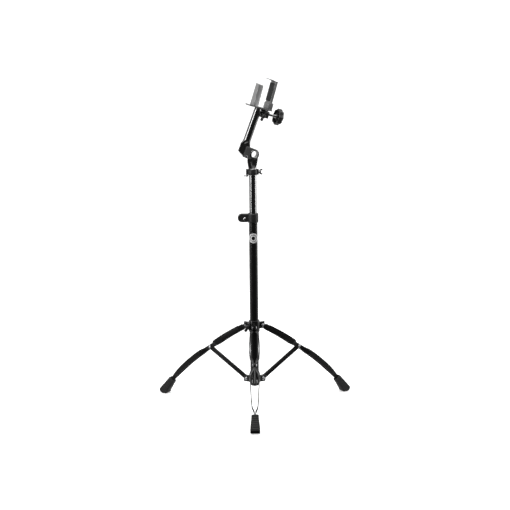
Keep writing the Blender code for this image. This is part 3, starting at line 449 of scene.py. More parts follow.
class Tree:
    """Short calls that add nodes to an emptied node tree."""

    def __init__(self, owner):
        owner.use_nodes = True
        self.tree = owner.node_tree
        self.tree.nodes.clear()

    def add(self, kind, inputs=None, **settings):
        """Adds a node; each input takes a socket, a number or a colour."""
        node = self.tree.nodes.new('ShaderNode' + kind)
        for key, value in settings.items():
            setattr(node, key, value)
        for key, value in (inputs or {}).items():
            socket = node.inputs[key]
            if isinstance(value, bpy.types.NodeSocket):
                self.tree.links.new(value, socket)
            elif socket.type == 'RGBA':
                socket.default_value = (*rgb(value), 1)
            else:
                socket.default_value = value
        return node

    def ramp(self, source, stops):
        """Colour ramp from (position, grey or colour) stops."""
        node = self.add('ValToRGB', {0: source})
        elements = node.color_ramp.elements
        while len(elements) > 1:
            elements.remove(elements[-1])
        elements[0].position = stops[0][0]
        elements[0].color = (*rgb(stops[0][1]), 1)
        for position, colour in stops[1:]:
            elements.new(position).color = (*rgb(colour), 1)
        return node.outputs[0]

    def coords(self, scale=(1, 1, 1)):
        source = self.add('TexCoord').outputs['Object']
        return self.add('Mapping', {'Scale': scale, 'Vector': source}).outputs[0]

    def noise(self, vector, scale, detail, rough=0.55, distort=0.0):
        return self.add('TexNoise', {'Vector': vector, 'Scale': scale, 'Detail': detail,
                                     'Roughness': rough, 'Distortion': distort}).outputs['Fac']

    def mix(self, factor, a, b, mode='MIX'):
        # inputs 6 and 7 are the node's colour pair
        return self.add('Mix', {0: factor, 6: a, 7: b}, data_type='RGBA',
                        blend_type=mode).outputs[2]

    def math(self, operation, a, b, clamp=False):
        return self.add('Math', {0: a, 1: b}, operation=operation, use_clamp=clamp).outputs[0]

    def unit(self, value):
        """Takes -1..1 to 0..1."""
        return self.math('ADD', self.math('MULTIPLY', value, 0.5), 0.5)

    def by_ray(self, other, camera):
        """One shader for camera rays and another for the rest."""
        ray = self.add('LightPath').outputs['Is Camera Ray']
        return self.add('MixShader', {0: ray, 1: other.outputs[0],
                                      2: camera.outputs[0]}).outputs[0]


# ------------------------------------------------------------------ finishes
def surface(name, slot, base, shade, worn, rough, metal, grain, bump, depth, wear, coat=0.0,
            coat_rough=0.1, stretch=(1, 1, 1), blotch=28.0, spec=0.5, sheen=0.0, cells=False):
    """Painted, plated or moulded finish with grain, patchy sheen and worn edges.

    base, shade and worn are colours; rough is a range; grain and blotch are noise scales;
    bump and depth set the grain's relief; wear is the amount of edge wear; cells gives a
    cellular grain.  Returns the material and its slot.
    """
    base = rgb(base)
    material = bpy.data.materials.new(name)
    tree = Tree(material)
    vector = tree.coords(stretch)
    broad = tree.noise(vector, blotch, detail=5.0, rough=0.6, distort=0.4)
    if cells:
        relief = tree.add('TexVoronoi', {'Scale': grain, 'Vector': vector}).outputs['Distance']
    else:
        relief = tree.noise(vector, grain, detail=3.0, rough=0.6)
    medium = tree.noise(vector, blotch * 9, detail=4.0, rough=0.65)
    # colour: broad patches with a finer mottle over them
    tone = tree.ramp(broad, [(0.30, shade), (0.62, base)])
    mottle = tree.ramp(medium, [(0.35, tuple(c * 0.72 for c in base)),
                                (0.7, tuple(min(1, c * 1.25) for c in base))])
    speckled = tree.mix(0.35, tone, mottle)
    # wear: convex edges, broken up by the noise
    broken = tree.ramp(medium, [(0.36, 0.15), (0.58, 1.0)])
    convex = tree.ramp(tree.add('NewGeometry').outputs['Pointiness'], [(0.53, 0), (0.64, 1)])
    mask = tree.math('MULTIPLY', convex, broken, clamp=True)
    mask = tree.math('MULTIPLY', mask, wear, clamp=True)
    sheen_patches = tree.ramp(medium, [(0.3, rough[0]), (0.72, rough[1])])
    bsdf = tree.add('BsdfPrincipled', {
        'Base Color': tree.mix(mask, speckled, worn),
        'Roughness': tree.mix(mask, sheen_patches, min(1.0, rough[1] + 0.12)),
        'Metallic': metal, 'IOR': 1.5, 'Specular IOR Level': spec,
        'Coat Weight': coat, 'Coat Roughness': coat_rough, 'Sheen Weight': sheen,
        'Normal': tree.add('Bump', {'Strength': bump, 'Distance': depth,
                                    'Height': relief}).outputs[0]})
    tree.add('OutputMaterial', {0: bsdf.outputs[0]})
    return material, slot


PAINT = surface(
    "gloss_black_paint", "gloss_black", base=0.0080, shade=0.005, worn=0.055, rough=(0.16, 0.28),
    metal=0.0, grain=650, bump=0.10, depth=0.00006, wear=0.45, coat=0.20, coat_rough=0.08,
    spec=0.55)
PAINT_LEG = surface(
    "gloss_black_legs", "gloss_black", base=0.0080, shade=0.005, worn=0.070, rough=(0.26, 0.40),
    metal=0.0, grain=700, bump=0.10, depth=0.00005, wear=0.5, spec=0.24)
CHEEK_BLACK = surface(
    "satin_black_plate", "gloss_black", base=0.11, shade=0.080, worn=0.26, rough=(0.28, 0.42),
    metal=0.25, grain=700, bump=0.10, depth=0.00005, wear=0.8)
NICKEL = surface(
    "black_nickel", "black_nickel", base=0.36, shade=0.29, worn=0.55, rough=(0.12, 0.20),
    metal=1.0, grain=420, bump=0.05, depth=0.00003, wear=0.5, stretch=(1, 1, 0.12), blotch=36)
NICKEL_DARK = surface(
    "black_nickel_dark", "black_nickel", base=0.30, shade=0.22, worn=0.50, rough=(0.16, 0.26),
    metal=1.0, grain=500, bump=0.05, depth=0.00003, wear=0.5)
CHROME = surface(
    "bright_chrome", "chrome", base=0.78, shade=0.70, worn=0.86, rough=(0.05, 0.12),
    metal=1.0, grain=900, bump=0.03, depth=0.00002, wear=0.3)
ZINC = surface(
    "bright_zinc", "zinc", base=(0.58, 0.585, 0.60), shade=(0.42, 0.425, 0.44), worn=0.75,
    rough=(0.22, 0.38), metal=1.0, grain=1300, bump=0.12, depth=0.00004, wear=0.5)
PLASTIC = surface(
    "moulded_black_nylon", "black_plastic", base=0.020, shade=0.013, worn=0.075,
    rough=(0.34, 0.50), metal=0.0, grain=1700, bump=0.22, depth=0.00006, wear=0.5, cells=True)
RUBBER = surface(
    "black_rubber", "rubber", base=0.014, shade=0.009, worn=0.050, rough=(0.62, 0.82),
    metal=0.0, grain=1500, bump=0.35, depth=0.00009, wear=0.65, sheen=0.08, spec=0.35)
NYLON = surface(
    "black_nylon", "nylon", base=0.028, shade=0.020, worn=0.07, rough=(0.42, 0.58),
    metal=0.0, grain=1200, bump=0.15, depth=0.00005, wear=0.4)
STEEL = surface(
    "satin_grey_steel", "grey_steel", base=0.34, shade=0.26, worn=0.70, rough=(0.26, 0.40),
    metal=0.5, grain=520, bump=0.14, depth=0.00004, wear=0.7, stretch=(1, 1, 0.10), blotch=30)
STEEL_PLATE = surface(
    "plate_grey_steel", "grey_steel", base=0.30, shade=0.22, worn=0.66, rough=(0.24, 0.38),
    metal=0.5, grain=520, bump=0.14, depth=0.00004, wear=0.8, blotch=30)
# painted shade: a darker copy of the same grey steel, standing in for the shade on the moving jaw
STEEL_SHADED = surface(
    "shaded_grey_steel", "grey_steel", base=0.26, shade=0.18, worn=0.62, rough=(0.24, 0.38),
    metal=0.45, grain=520, bump=0.14, depth=0.00004, wear=0.7, blotch=30)
ENAMEL = surface(
    "white_enamel", "badge_white", base=0.86, shade=0.80, worn=0.92, rough=(0.20, 0.32),
    metal=0.0, grain=900, bump=0.05, depth=0.00003, wear=0.2, coat=0.4, coat_rough=0.06)
ENAMEL_BLACK = surface(
    "black_enamel", "gloss_black", base=0.012, shade=0.008, worn=0.03, rough=(0.20, 0.32),
    metal=0.0, grain=900, bump=0.05, depth=0.00003, wear=0.2)


# ------------------------------------------------------------------ small hardware
def rivet(half_len):
    """Rivet along Z with a domed head at each end."""
    shank_r, head_r, head_h = 0.0025, 0.0046, 0.0020
    # share of the head's radius, share of its height
    dome = [(0, 1), (0.18, 0.98), (0.40, 0.90), (0.62, 0.76), (0.82, 0.54), (0.95, 0.28)]
    profile = [(head_r * r, half_len + head_h * z) for r, z in dome]
    profile += [(head_r, half_len + 0.0003), (head_r * 0.985, half_len), (shank_r, half_len)]
    return turned(mirrored(profile), 40)


def wing_loop(side, hub_r, hub_len, span, height, inner):
    """Outline of one wing, on the +x (side 1) or -x (side -1) of the hub."""
    points = [(inner, hub_len * 0.12), (hub_r * 1.05, hub_len * 0.10),
              (span * 0.66, height * 0.24), (span * 0.93, height * 0.48),
              (span, height * 0.70), (span * 0.96, height * 0.92), (span * 0.82, height),
              (span * 0.64, height * 0.97), (span * 0.50, height * 0.84),
              (hub_r * 1.0, hub_len * 0.86), (inner, hub_len * 0.82)]
    points = [(side * x, y) for x, y in round_loop(points, 0.0022, 4)]
    return points if side > 0 else points[::-1]


def wing_screw(place, shank_r, shank_len, hub_r, hub_len, span, height, thick, edge=0.0009):
    """Wing bolt (shank_len > 0) or wing nut, along the local Z."""
    if shank_len > 0:
        hub = turned([(0, hub_len), (hub_r * 0.62, hub_len), (hub_r * 0.86, hub_len * 0.93),
                      (hub_r, hub_len * 0.78), (hub_r * 1.02, 0.0010), (hub_r * 0.95, 0.0),
                      (shank_r, 0.0), (shank_r, -shank_len + 0.0005),
                      (shank_r * 0.8, -shank_len), (0, -shank_len)], 48)
        inner = 0.2 * hub_r
    else:
        hub = turned([(hub_r * 0.80, hub_len), (hub_r * 0.95, hub_len * 0.90),
                      (hub_r, hub_len * 0.7), (hub_r * 1.02, 0.0010), (hub_r * 0.96, 0),
                      (shank_r, 0), (shank_r, hub_len)], 48, closed=True)
        inner = shank_r + 0.0010
    screw = Solid(hub, place)
    for side in (1, -1):
        loop = wing_loop(side, hub_r, hub_len, span, height, inner)
        screw.fuse(plate([loop], thick, 'XZ'))
    screw.bevel(edge)
    return screw


# ------------------------------------------------------------------ mast base
LOWER_BORE = 0.0118
LOWER_HOLE_R = LOWER_R + GAP
HUB_FRAME = shift(MAST_FRAME, z=HUB_Z)
BADGE_R0, BADGE_R1 = LOWER_R + 0.0003, LOWER_R + 0.0009
MARK_R0, MARK_R1 = LOWER_R + 0.00092, LOWER_R + 0.00110

piece("lower_tube",
      turned([(LOWER_R - 0.0003, LOWER_TOP), (LOWER_R, LOWER_TOP - 0.0003),
              (LOWER_R, LOWER_TOP - 0.060), (LOWER_R, 0.44), (LOWER_R, 0.33), (LOWER_R, 0.22),
              (LOWER_R, 0.14), (LOWER_R, TUBE_BOTTOM + 0.0003), (LOWER_R - 0.0003, TUBE_BOTTOM),
              (LOWER_BORE, TUBE_BOTTOM), (LOWER_BORE, LOWER_TOP)], 128, closed=True),
      "base", PAINT, MAST_FRAME)

PLUG = [(0, 0.014), (0.0103, 0.014), (0.0114, 0.0125), (0.0114, -GAP), (0.0127, -GAP),
        (0.0128, -0.0016), (0.0124, -0.0030), (0.0112, -0.0043), (0.0095, -0.0053),
        (0.0060, -0.0058), (0, -0.0060)]              # radius, height from the tube's end
piece("tube_end_plug", turned(raised(PLUG, TUBE_BOTTOM)), "base", RUBBER, MAST_FRAME)


def lower_hub():
    """Hub with a slotted ear for each brace and a sleeve round the tube."""
    ears = [(azimuth, HINGE_REACH, 0.0060, 0.0023) for azimuth in LEG_DEGREES.values()]
    hub = Solid(plate([star_loop(0.0160, ears), circle(LOWER_HOLE_R, 96)], 0.018), HUB_FRAME)
    hub.fuse(plate([circle(0.0148, 96), circle(LOWER_HOLE_R, 96)], 0.026),
             shift(HUB_FRAME, z=0.001))
    for place in LEG_FRAME.values():
        hub.cut(rod(RIVET_HOLE_R, -0.012, 0.012, 'Y', 32), shift(place, PIVOT_R, 0, HUB_Z))
    hub.bevel(0.0007)
    return hub


piece("lower_hub", lower_hub(), "base", PAINT)
for leg, place in LEG_FRAME.items():
    piece("hub_rivet_" + leg, rivet(0.0063), "base", ZINC,
          shift(place, PIVOT_R, 0, HUB_Z) @ Z_TO_Y)


def wrapped(loops, r0, r1):
    """Thin sheet cut to the outlines and wrapped on the tube at the badge, facing -Y."""
    bm = bmesh.new()
    bm.from_mesh(plate(loops, r1 - r0, 'XZ'))
    for k in range(-24, 25):
        geom = list(bm.verts) + list(bm.edges) + list(bm.faces)
        bmesh.ops.bisect_plane(bm, geom=geom, plane_co=(k * 0.0007, 0, 0), plane_no=(1, 0, 0))
    bmesh.ops.triangulate(bm, faces=[face for face in bm.faces if len(face.verts) > 4])
    middle = (r0 + r1) / 2
    for vert in bm.verts:
        r = middle - vert.co.y
        a = vert.co.x / middle
        vert.co = Vector((r * sin(a), -r * cos(a), vert.co.z + BADGE_Z))
    return to_mesh(bm)


piece("badge", wrapped([circle(0.0147, 96)], BADGE_R0, BADGE_R1), "base", ENAMEL, MAST_FRAME)
piece("badge_ring", wrapped([circle(0.0108, 80), circle(0.0092, 80)], MARK_R0, MARK_R1),
      "base", ENAMEL_BLACK, MAST_FRAME, replaces=False)
piece("badge_dot", wrapped([circle(0.0052, 60)], MARK_R0, MARK_R1),
      "base", ENAMEL_BLACK, MAST_FRAME, replaces=False)

# ------------------------------------------------------------------ legs
# s is the distance along a leg from its upper rivet
BEND_START = radians(57)                     # lean from the vertical just below the knee
FOOT_ANGLE = radians(41.5)                   # and after the bend
BEND_LEN = 0.178
STRIP_T, STRIP_D, STRIP_END = 0.0025, 0.0130, 0.342
STRIP_TIP = 0.0068                           # rounded upper end beyond the rivet
# s, distance of a strip's outer face from the leg's middle plane
SPREAD = [(0.009, 0.0058), (0.026, 0.0140), (0.092, 0.0162), (0.118, 0.0150),
          (0.141, 0.0048), (0.159, 0.0048), (0.190, 0.0158), (0.222, 0.0138),
          (0.268, 0.0122), (0.296, 0.0102), (0.323, 0.00285)]
BOOT_S = 0.328
SOLE_EDGE = Vector((0.2985, 0.0090))         # radius, height where the sole begins
# rest of the boot's outline round the sole to the toe: radius, height
SOLE = [(0.3010, 0.0030), (0.3045, 0), (0.3150, 0), (0.3215, 0.0034), (0.3260, 0.0084),
        (0.3275, 0.0130)]


def leg_angle(s):
    if s <= LINK:
        return LEG_ANGLE
    return BEND_START + (FOOT_ANGLE - BEND_START) * min((s - LINK) / BEND_LEN, 1.0)


def leg_point(s):
    """Radius and height of the leg's centre line."""
    r = z = 0.0
    steps = max(int(abs(s) / 0.001), 1)
    ds = s / steps
    for i in range(steps):
        a = leg_angle((i + 0.5) * ds)
        r += ds * sin(a)
        z -= ds * cos(a)
    return PIVOT_R + r, COLLAR_Z + z


def spread(s):
    if s <= SPREAD[0][0]:
        return SPREAD[0][1]
    for (s0, v0), (s1, v1) in zip(SPREAD, SPREAD[1:]):
        if s <= s1:
            return v0 + (v1 - v0) * smoothstep((s - s0) / (s1 - s0))
    return SPREAD[-1][1]


def leg_section(s, points):
    """Points (across the leg in its plane, sideways) placed at s."""
    r, z = leg_point(s)
    a = leg_angle(s)
    return [(r + u * cos(a), w, z + u * sin(a)) for u, w in points]


def leg_strip(side):
    """Flat steel strip with rounded edges that follows the leg, on its +Y or -Y side."""
    half_d, half_t = STRIP_D / 2, STRIP_T / 2
    section = rounded_rect(-half_d, -half_t, half_d, half_t, 0.0007, 3)
    stations = [-STRIP_TIP + STRIP_TIP * (1 - cos(pi / 2 * i / 7)) for i in range(8)]
    stations += [0.0025 * k for k in range(1, int(0.340 / 0.0025))] + [0.340, STRIP_END]
    rows = []
    for s in stations:
        out = spread(s) - STRIP_T / 2
        tip = max(sqrt(max(1 - (min(s, 0) / STRIP_TIP) ** 2, 0.0)), 0.12)
        # the strip is deeper and lifted where the two strips stand apart
        full = smoothstep((spread(s) - 0.0060) / 0.0085) * (1 - smoothstep((s - 0.286) / 0.020))
        full *= 1.0 if s < LINK else 0.45
        lift = 0.0012 * full + (0.0020 * sin(pi * s / LINK) ** 2 if 0 < s < LINK else 0.0)
        rows.append(leg_section(s, [(u * tip * (1 + 0.38 * full) + lift, side * (out + w))
                                    for u, w in section]))
    strip = Solid(to_mesh(loft(rows)), LEG_FRAME[leg])
    for x, z in ((PIVOT_R, COLLAR_Z), (KNEE_R, KNEE_Z)):
        reach = side * 0.012
        strip.cut(rod(RIVET_HOLE_R, min(0.0, reach), max(0.0, reach), 'Y', 32),
                  shift(LEG_FRAME[leg], x, 0, z))
    return strip


def boot_inset(share):
    """Depth below the boot's surface: a flared lip at the top, then seven grooves."""
    if share < 0.10:
        return -0.0002 + 0.0016 * max(0.0, 1 - share / 0.03) ** 2
    phase = (share - 0.10) / 0.90 * 7.0
    phase -= floor(phase)
    if phase >= 0.42:
        return 0
    return 0.0013 * (smoothstep(phase / 0.14) - smoothstep((phase - 0.26) / 0.14))


def boot_mesh():
    """Ribbed rubber boot, lofted along the leg's end and cut flat at the floor."""
    top = Vector(leg_point(BOOT_S))
    along = Vector((sin(FOOT_ANGLE), -cos(FOOT_ANGLE)))
    across = Vector((cos(FOOT_ANGLE), sin(FOOT_ANGLE)))
    outline = [top + 0.010 * across, top - 0.010 * across, SOLE_EDGE]
    outline += [Vector(point) for point in SOLE]
    outline = [((p - top).dot(along), (p - top).dot(across)) for p in outline]
    t_end = max(t for t, n in outline)
    t_sole = (SOLE_EDGE - top).dot(along)

    def span(t):
        hits = []
        for i, (t0, n0) in enumerate(outline):
            t1, n1 = outline[(i + 1) % len(outline)]
            if abs(t1 - t0) > 1e-9 and min(t0, t1) - 1e-9 <= t <= max(t0, t1) + 1e-9:
                hits.append(n0 + (n1 - n0) * (t - t0) / (t1 - t0))
        return min(hits), max(hits)

    sections = []
    steps = 132
    for k in range(steps + 1):
        t = t_end * k / steps
        share = t / t_end
        inset = boot_inset(share)
        half_w = 0.01075 + (0.0145 - 0.01075) * smoothstep(share * 1.15) - inset
        lo, hi = span(min(t, t_end - 1e-5))
        lo += inset if t < t_sole else 0
        hi -= inset
        if hi - lo < 0.0008:
            middle = (lo + hi) / 2
            lo, hi = middle - 0.0004, middle + 0.0004
        r = min(0.0046, (hi - lo) * 0.45, half_w * 0.6)
        section = []
        for x, y in rounded_rect(lo, -half_w, hi, half_w, r, 6):
            p = top + along * t + across * x
            section.append((p.x, y, p.y))
        sections.append(section)
    bm = loft(sections)
    bmesh.ops.remove_doubles(bm, verts=bm.verts, dist=1e-6)
    geom = list(bm.verts) + list(bm.edges) + list(bm.faces)
    bmesh.ops.bisect_plane(bm, geom=geom, plane_co=(0, 0, 0.00005), plane_no=(0, 0, -1),
                           clear_outer=True)
    bmesh.ops.holes_fill(bm, edges=[edge for edge in bm.edges if edge.is_boundary], sides=0)
    return to_mesh(bm)


def pocket_mesh():
    """Room in the boot for the ends of the two strips."""
    start, steps = 0.311, 10
    half_u, half_w = STRIP_D / 2 + GAP, SPREAD[-1][1] + 0.0004
    corners = [(-half_u, -half_w), (half_u, -half_w), (half_u, half_w), (-half_u, half_w)]
    return to_mesh(loft([leg_section(start + (STRIP_END + GAP - start) * i / steps, corners)
                         for i in range(steps + 1)]))


BOOT = boot_mesh()

for leg, place in LEG_FRAME.items():
    for side, tag in ((1, "a"), (-1, "b")):
        piece("leg_%s_strip_%s" % (leg, tag), leg_strip(side), "leg_" + leg, PAINT_LEG,
              smooth=42)
    boot = Solid(BOOT.copy(), place)
    boot.cut(pocket_mesh())
    piece("foot_" + leg, boot, "leg_" + leg, RUBBER, smooth=30)

    brace_frame = shift(place, PIVOT_R, 0, HUB_Z) @ spin(-(pi / 2 - LEG_ANGLE), 'Y')
    brace = Solid(plate([capsule(0, LINK, 0.0065, 28), circle(RIVET_HOLE_R, 32),
                         circle(RIVET_HOLE_R, 32, LINK)], 0.004, 'XZ'), brace_frame)
    brace.bevel(0.0008)
    piece("brace_" + leg, brace, "brace_" + leg, PAINT_LEG)
    piece("knee_rivet_" + leg, rivet(0.0052), "brace_" + leg, ZINC,
          shift(brace_frame, LINK) @ Z_TO_Y)

# ------------------------------------------------------------------ upper collar
COLLAR_FRAME = shift(MAST_FRAME, z=COLLAR_Z)
COLLAR_BORE = 0.0140
COLLAR_BOLT_DEGREES = 210
COLLAR_BOLT_R = 0.0204
bolt_turn = radians(COLLAR_BOLT_DEGREES - 360)
COLLAR_BOLT_FRAME = (shift(COLLAR_FRAME, COLLAR_BOLT_R * cos(bolt_turn),
                           COLLAR_BOLT_R * sin(bolt_turn)) @ spin(bolt_turn, 'Z') @ Z_TO_X)


def leg_collar():
    """Collar with an ear for each leg and a boss for the wing bolt."""
    ears = [(azimuth, HINGE_REACH, 0.0030, 0) for azimuth in LEG_DEGREES.values()]
    boss = (COLLAR_BOLT_DEGREES, 0.0200, 0.0070, 0)
    bore = circle(COLLAR_BORE, 96)
    collar = Solid(plate([star_loop(0.0158, ears + [boss]), bore], 0.020), COLLAR_FRAME)
    collar.fuse(plate([circle(0.0162, 96), bore], 0.033))
    for place in LEG_FRAME.values():
        collar.cut(rod(RIVET_HOLE_R, -0.008, 0.008, 'Y', 32),
                   shift(place, PIVOT_R, 0, COLLAR_Z))
    collar.cut(rod(0.0033, -0.0085, 0.0035, 'Z', 32), COLLAR_BOLT_FRAME)
    collar.bevel(0.0006)
    return collar


piece("leg_collar", leg_collar(), "collar", PAINT)
piece("collar_bush",
      turned([(0.0137, 0.0165), (0.0137, -0.0165), (0.0132, -0.0168), (0.0130, -0.0165),
              (0.0130, 0.0165), (0.0132, 0.0168)], closed=True),
      "collar", NYLON, COLLAR_FRAME)
for leg, place in LEG_FRAME.items():
    piece("collar_rivet_" + leg, rivet(0.0061), "collar", ZINC,
          shift(place, PIVOT_R, 0, COLLAR_Z) @ Z_TO_Y)
piece("collar_wing_bolt",
      wing_screw(COLLAR_BOLT_FRAME, shank_r=0.0030, shank_len=0.0060, hub_r=0.0065,
                 hub_len=0.010, span=0.015, height=0.013, thick=0.0050),
      "collar_bolt", PLASTIC)

# ------------------------------------------------------------------ height clamp
LUG_FRAME = shift(MAST_FRAME, z=(CLAMP_Z0 + CLAMP_Z1) / 2)
LUG_R = 0.0118
LUG_END = -0.0450
LUG_X = LUG_END + LUG_R                      # centre of the lug's round end
BOLT_X, BOLT_Z = -0.0245, (CLAMP_Z0 + CLAMP_Z1) / 2 - 0.002
# radius, depth from either end of the body
CLAMP_END = [(0, 0), (0.0140, 0), (0.0149, 0.0004), (0.0155, 0.0012), (0.0156, 0.0022)]


def height_clamp_body():
    """Cylinder round the tube's top with a split lug to -X."""
    body = Solid(turned([(r, CLAMP_Z1 - z) for r, z in CLAMP_END]
                        + [(r, CLAMP_Z0 + z) for r, z in reversed(CLAMP_END)], 128), MAST_FRAME)
    body.fuse(plate([capsule(-0.0100, LUG_X, LUG_R, 32)], 0.0140, 'XZ'), LUG_FRAME)
    # moulded rim round the lug's outer end
    body.fuse(plate([circle(0.0100, 64, LUG_X), circle(0.0076, 64, LUG_X)], 0.0152, 'XZ'),
              LUG_FRAME)
    # bore for the lower tube, then the narrower one for the upper tube
    body.cut(rod(0.0130, CLAMP_Z0 - 0.004, CLAMP_Z1 - 0.0026, 'Z', 128))
    body.cut(rod(0.0118, CLAMP_Z1 - 0.003, CLAMP_Z1 + 0.003, 'Z', 128))
    body.cut(block((-0.0500, -0.0009, -0.020), (-0.0080, 0.0009, 0.020)), LUG_FRAME)
    body.cut(rod(0.0033, -0.015, 0.015, 'Y', 40), shift(MAST_FRAME, BOLT_X, 0, BOLT_Z))
    body.bevel(0.0006)
    return body


piece("height_clamp_body", height_clamp_body(), "base", PLASTIC)
piece("height_clamp_bush",
      turned([(0.0127, LOWER_TOP + GAP), (0.0114, LOWER_TOP + GAP),
              (0.0114, CLAMP_Z1 - 0.0029), (0.0127, CLAMP_Z1 - 0.0029)], closed=True),
      "base", NYLON, MAST_FRAME)
piece("height_clamp_bolt",
      turned([(0, 0.0096), (0.0012, 0.00955), (0.0024, 0.0093), (0.0036, 0.0088),
              (0.0044, 0.0081), (0.0046, 0.0075), (0.0045, 0.0073), (0.0030, 0.0073),
              (0.0030, -0.0100)]
             + thread_profile(0.0030, -0.0200, -0.0100, 0.001)[::-1]
             + [(0.0026, -0.0228), (0.0022, -0.0230), (0, -0.0230)], 48),
      "base", CHROME, shift(MAST_FRAME, BOLT_X, 0, BOLT_Z) @ Z_TO_MINUS_Y)
piece("height_clamp_wing_nut",
      wing_screw(shift(MAST_FRAME, BOLT_X, 0.0079, BOLT_Z) @ spin(radians(35), 'Y') @ Z_TO_Y,
                 shank_r=0.0033, shank_len=0.0, hub_r=0.0070, hub_len=0.012, span=0.0150,
                 height=0.0145, thick=0.0045),
      "clamp_nut", PLASTIC)

# ------------------------------------------------------------------ upper mast
EYE_R, EYE_T, BLADE_R = 0.0152, 0.0040, 0.0170     # flattened end: eye, thickness, widest half
SLEEVE_R, SLEEVE_BORE = 0.0113, 0.0100
SLEEVE_HOLE_R = SLEEVE_R + GAP
UPPER_BORE = 0.0099

# radius, height from the tube's end
GUIDE_BUSH = [(0.0070, 0.012), (0.0092, 0.012), (0.0096, 0.010), (0.0096, -GAP),
              (0.0112, -GAP), (0.0114, -0.0006), (0.0114, -0.016), (0.0108, -0.018),
              (0.0070, -0.018)]
piece("guide_bush", turned(raised(GUIDE_BUSH, UPPER_BOTTOM), closed=True),
      "mast_slider", NYLON, MAST_FRAME)


def pressed_tube(heights, section):
    """Tube along Z whose section at each height comes from section(z, angle)."""
    segs = 128
    return to_mesh(loft([[(*section(z, 2 * pi * (k + 0.5) / segs), z) for k in range(segs)]
                         for z in heights]))


def pressed_point(a, half_x, half_y, square, dent):
    """Point of an oval squared off towards a slab, its broad sides dented at the middle."""
    x, y = cos(a), sin(a)
    y = copysign(abs(y) ** (1 - square), y)
    fold = copysign(dent * max(0.0, 1 - (x / 0.55) ** 2) ** 1.5, y)
    return half_x * x, half_y * y - fold


def upper_section(z, a):
    """Section at z from the pivot: round tube, flat blade, then the eye."""
    flat = min(max((z + 0.0440) / 0.0265, 0.0), 1.0) ** 0.5
    eye = smoothstep((z + 0.0175) / 0.0175)
    if z > 0:
        half_x = EYE_R * sqrt(max(1 - (z / EYE_R) ** 2, 0.0))
    else:
        half_x = UPPER_R + (BLADE_R - UPPER_R) * flat + (EYE_R - BLADE_R) * eye
    half_y = UPPER_R + (EYE_T / 2 - UPPER_R) * flat
    # the tube's walls fold in towards each other as the end closes
    dent = 0.0019 * (smoothstep((z + 0.0435) / 0.012) - smoothstep((z + 0.0250) / 0.0080))
    x, y = pressed_point(a, half_x, half_y, 0.62 * flat, dent)
    return PIVOT_DX * eye + x, y


def upper_tube():
    heights = [UPPER_BOTTOM - PIVOT_Z, -0.42, -0.36, -0.30, -0.24, -0.18, -0.12, -0.08, -0.055,
               -0.046, -0.0445, -0.0440, -0.0438, -0.0435, -0.0430]
    heights += [-0.0425 + 0.0005 * k for k in range(13)]
    heights += [-0.0360 + 0.0010 * k for k in range(36)]
    heights += [EYE_R * sin(radians(a)) for a in (4, 12, 20, 28, 36, 44, 52, 60, 67, 73, 78,
                                                  80.5)]
    heights = sorted(set(round(z, 6) for z in heights))
    tube = Solid(pressed_tube(heights, upper_section), HEAD_FRAME)
    tube.cut(rod(UPPER_BORE, -0.4700, -0.0445, 'Z', 96))
    tube.cut(rod(SLEEVE_HOLE_R, -0.015, 0.015, 'Y', 96), shift(HEAD_FRAME, PIVOT_DX))
    return tube


piece("upper_tube", upper_tube(), "mast", NICKEL, smooth=40)

# ------------------------------------------------------------------ memory lock
LOCK_FRAME = shift(MAST_FRAME, z=(LOCK_Z0 + LOCK_Z1) / 2) @ spin(radians(4), 'Z')
KEY_FRAME = shift(LOCK_FRAME, -0.0168)


def memory_lock_ring():
    """Ring with a boss for the wing bolt at +X and one for the key at -X."""
    outline = star_loop(0.0145, [(0, 0.0176, 0.0052, 0), (180, 0.0196, 0.0040, 0)])
    ring = Solid(plate([outline, circle(0.0114, 96)], LOCK_Z1 - LOCK_Z0), LOCK_FRAME)
    for z in (-0.0052, 0.0052):
        # two shallow grooves round the ring
        ring.cut(turned([(0.0139, z - 0.0003), (0.0139, z + 0.0003), (0.0150, z + 0.0006),
                         (0.0150, z - 0.0006)], closed=True))
    ring.cut(rod(0.0027, 0.006, 0.020, 'X', 32))
    ring.cut(rod(0.0017, -0.015, 0.015, 'Z', 32), KEY_FRAME)
    ring.bevel(0.0006)
    return ring


piece("memory_lock_ring", memory_lock_ring(), "memory_lock", PLASTIC)
piece("memory_lock_wing_bolt",
      wing_screw(shift(LOCK_FRAME, 0.0180) @ Z_TO_X, shank_r=0.0024, shank_len=0.0060,
                 hub_r=0.0045, hub_len=0.0070, span=0.0085, height=0.0110, thick=0.0030,
                 edge=0.0007),
      "memory_lock_bolt", NICKEL_DARK)
key = Solid(rod(0.0014, -0.0155, 0.0100, 'Z', 40), KEY_FRAME)
key.fuse(block((-0.0100, -0.0016, -0.0128), (0.0045, 0.0016, -0.0095), 0.0005, 2))
key.bevel(0.0003, 2, 45)
piece("memory_lock_key", key, "memory_lock", CHROME)

# ------------------------------------------------------------------ tilter
# the stack along the pivot, from the middle out: eye, washer, cheek
WASHER_T, CHEEK_T = 0.0008, 0.0025
WASHER_Y = EYE_T / 2 + GAP
CHEEK_Y = WASHER_Y + WASHER_T + GAP
STACK = CHEEK_Y + CHEEK_T
TILT_BOLT_X, TILT_BOLT_Z = -0.0245, -0.0140
# the cheek's outline on the arm's side: x, z
CHEEK_CORNERS = [(-0.0080, 0.0160), (-0.0320, 0.0160), (-0.0320, -0.0125), (-0.0290, -0.0160),
                 (-0.0235, -0.0182), (-0.0160, -0.0186), (-0.0085, -0.0172)]


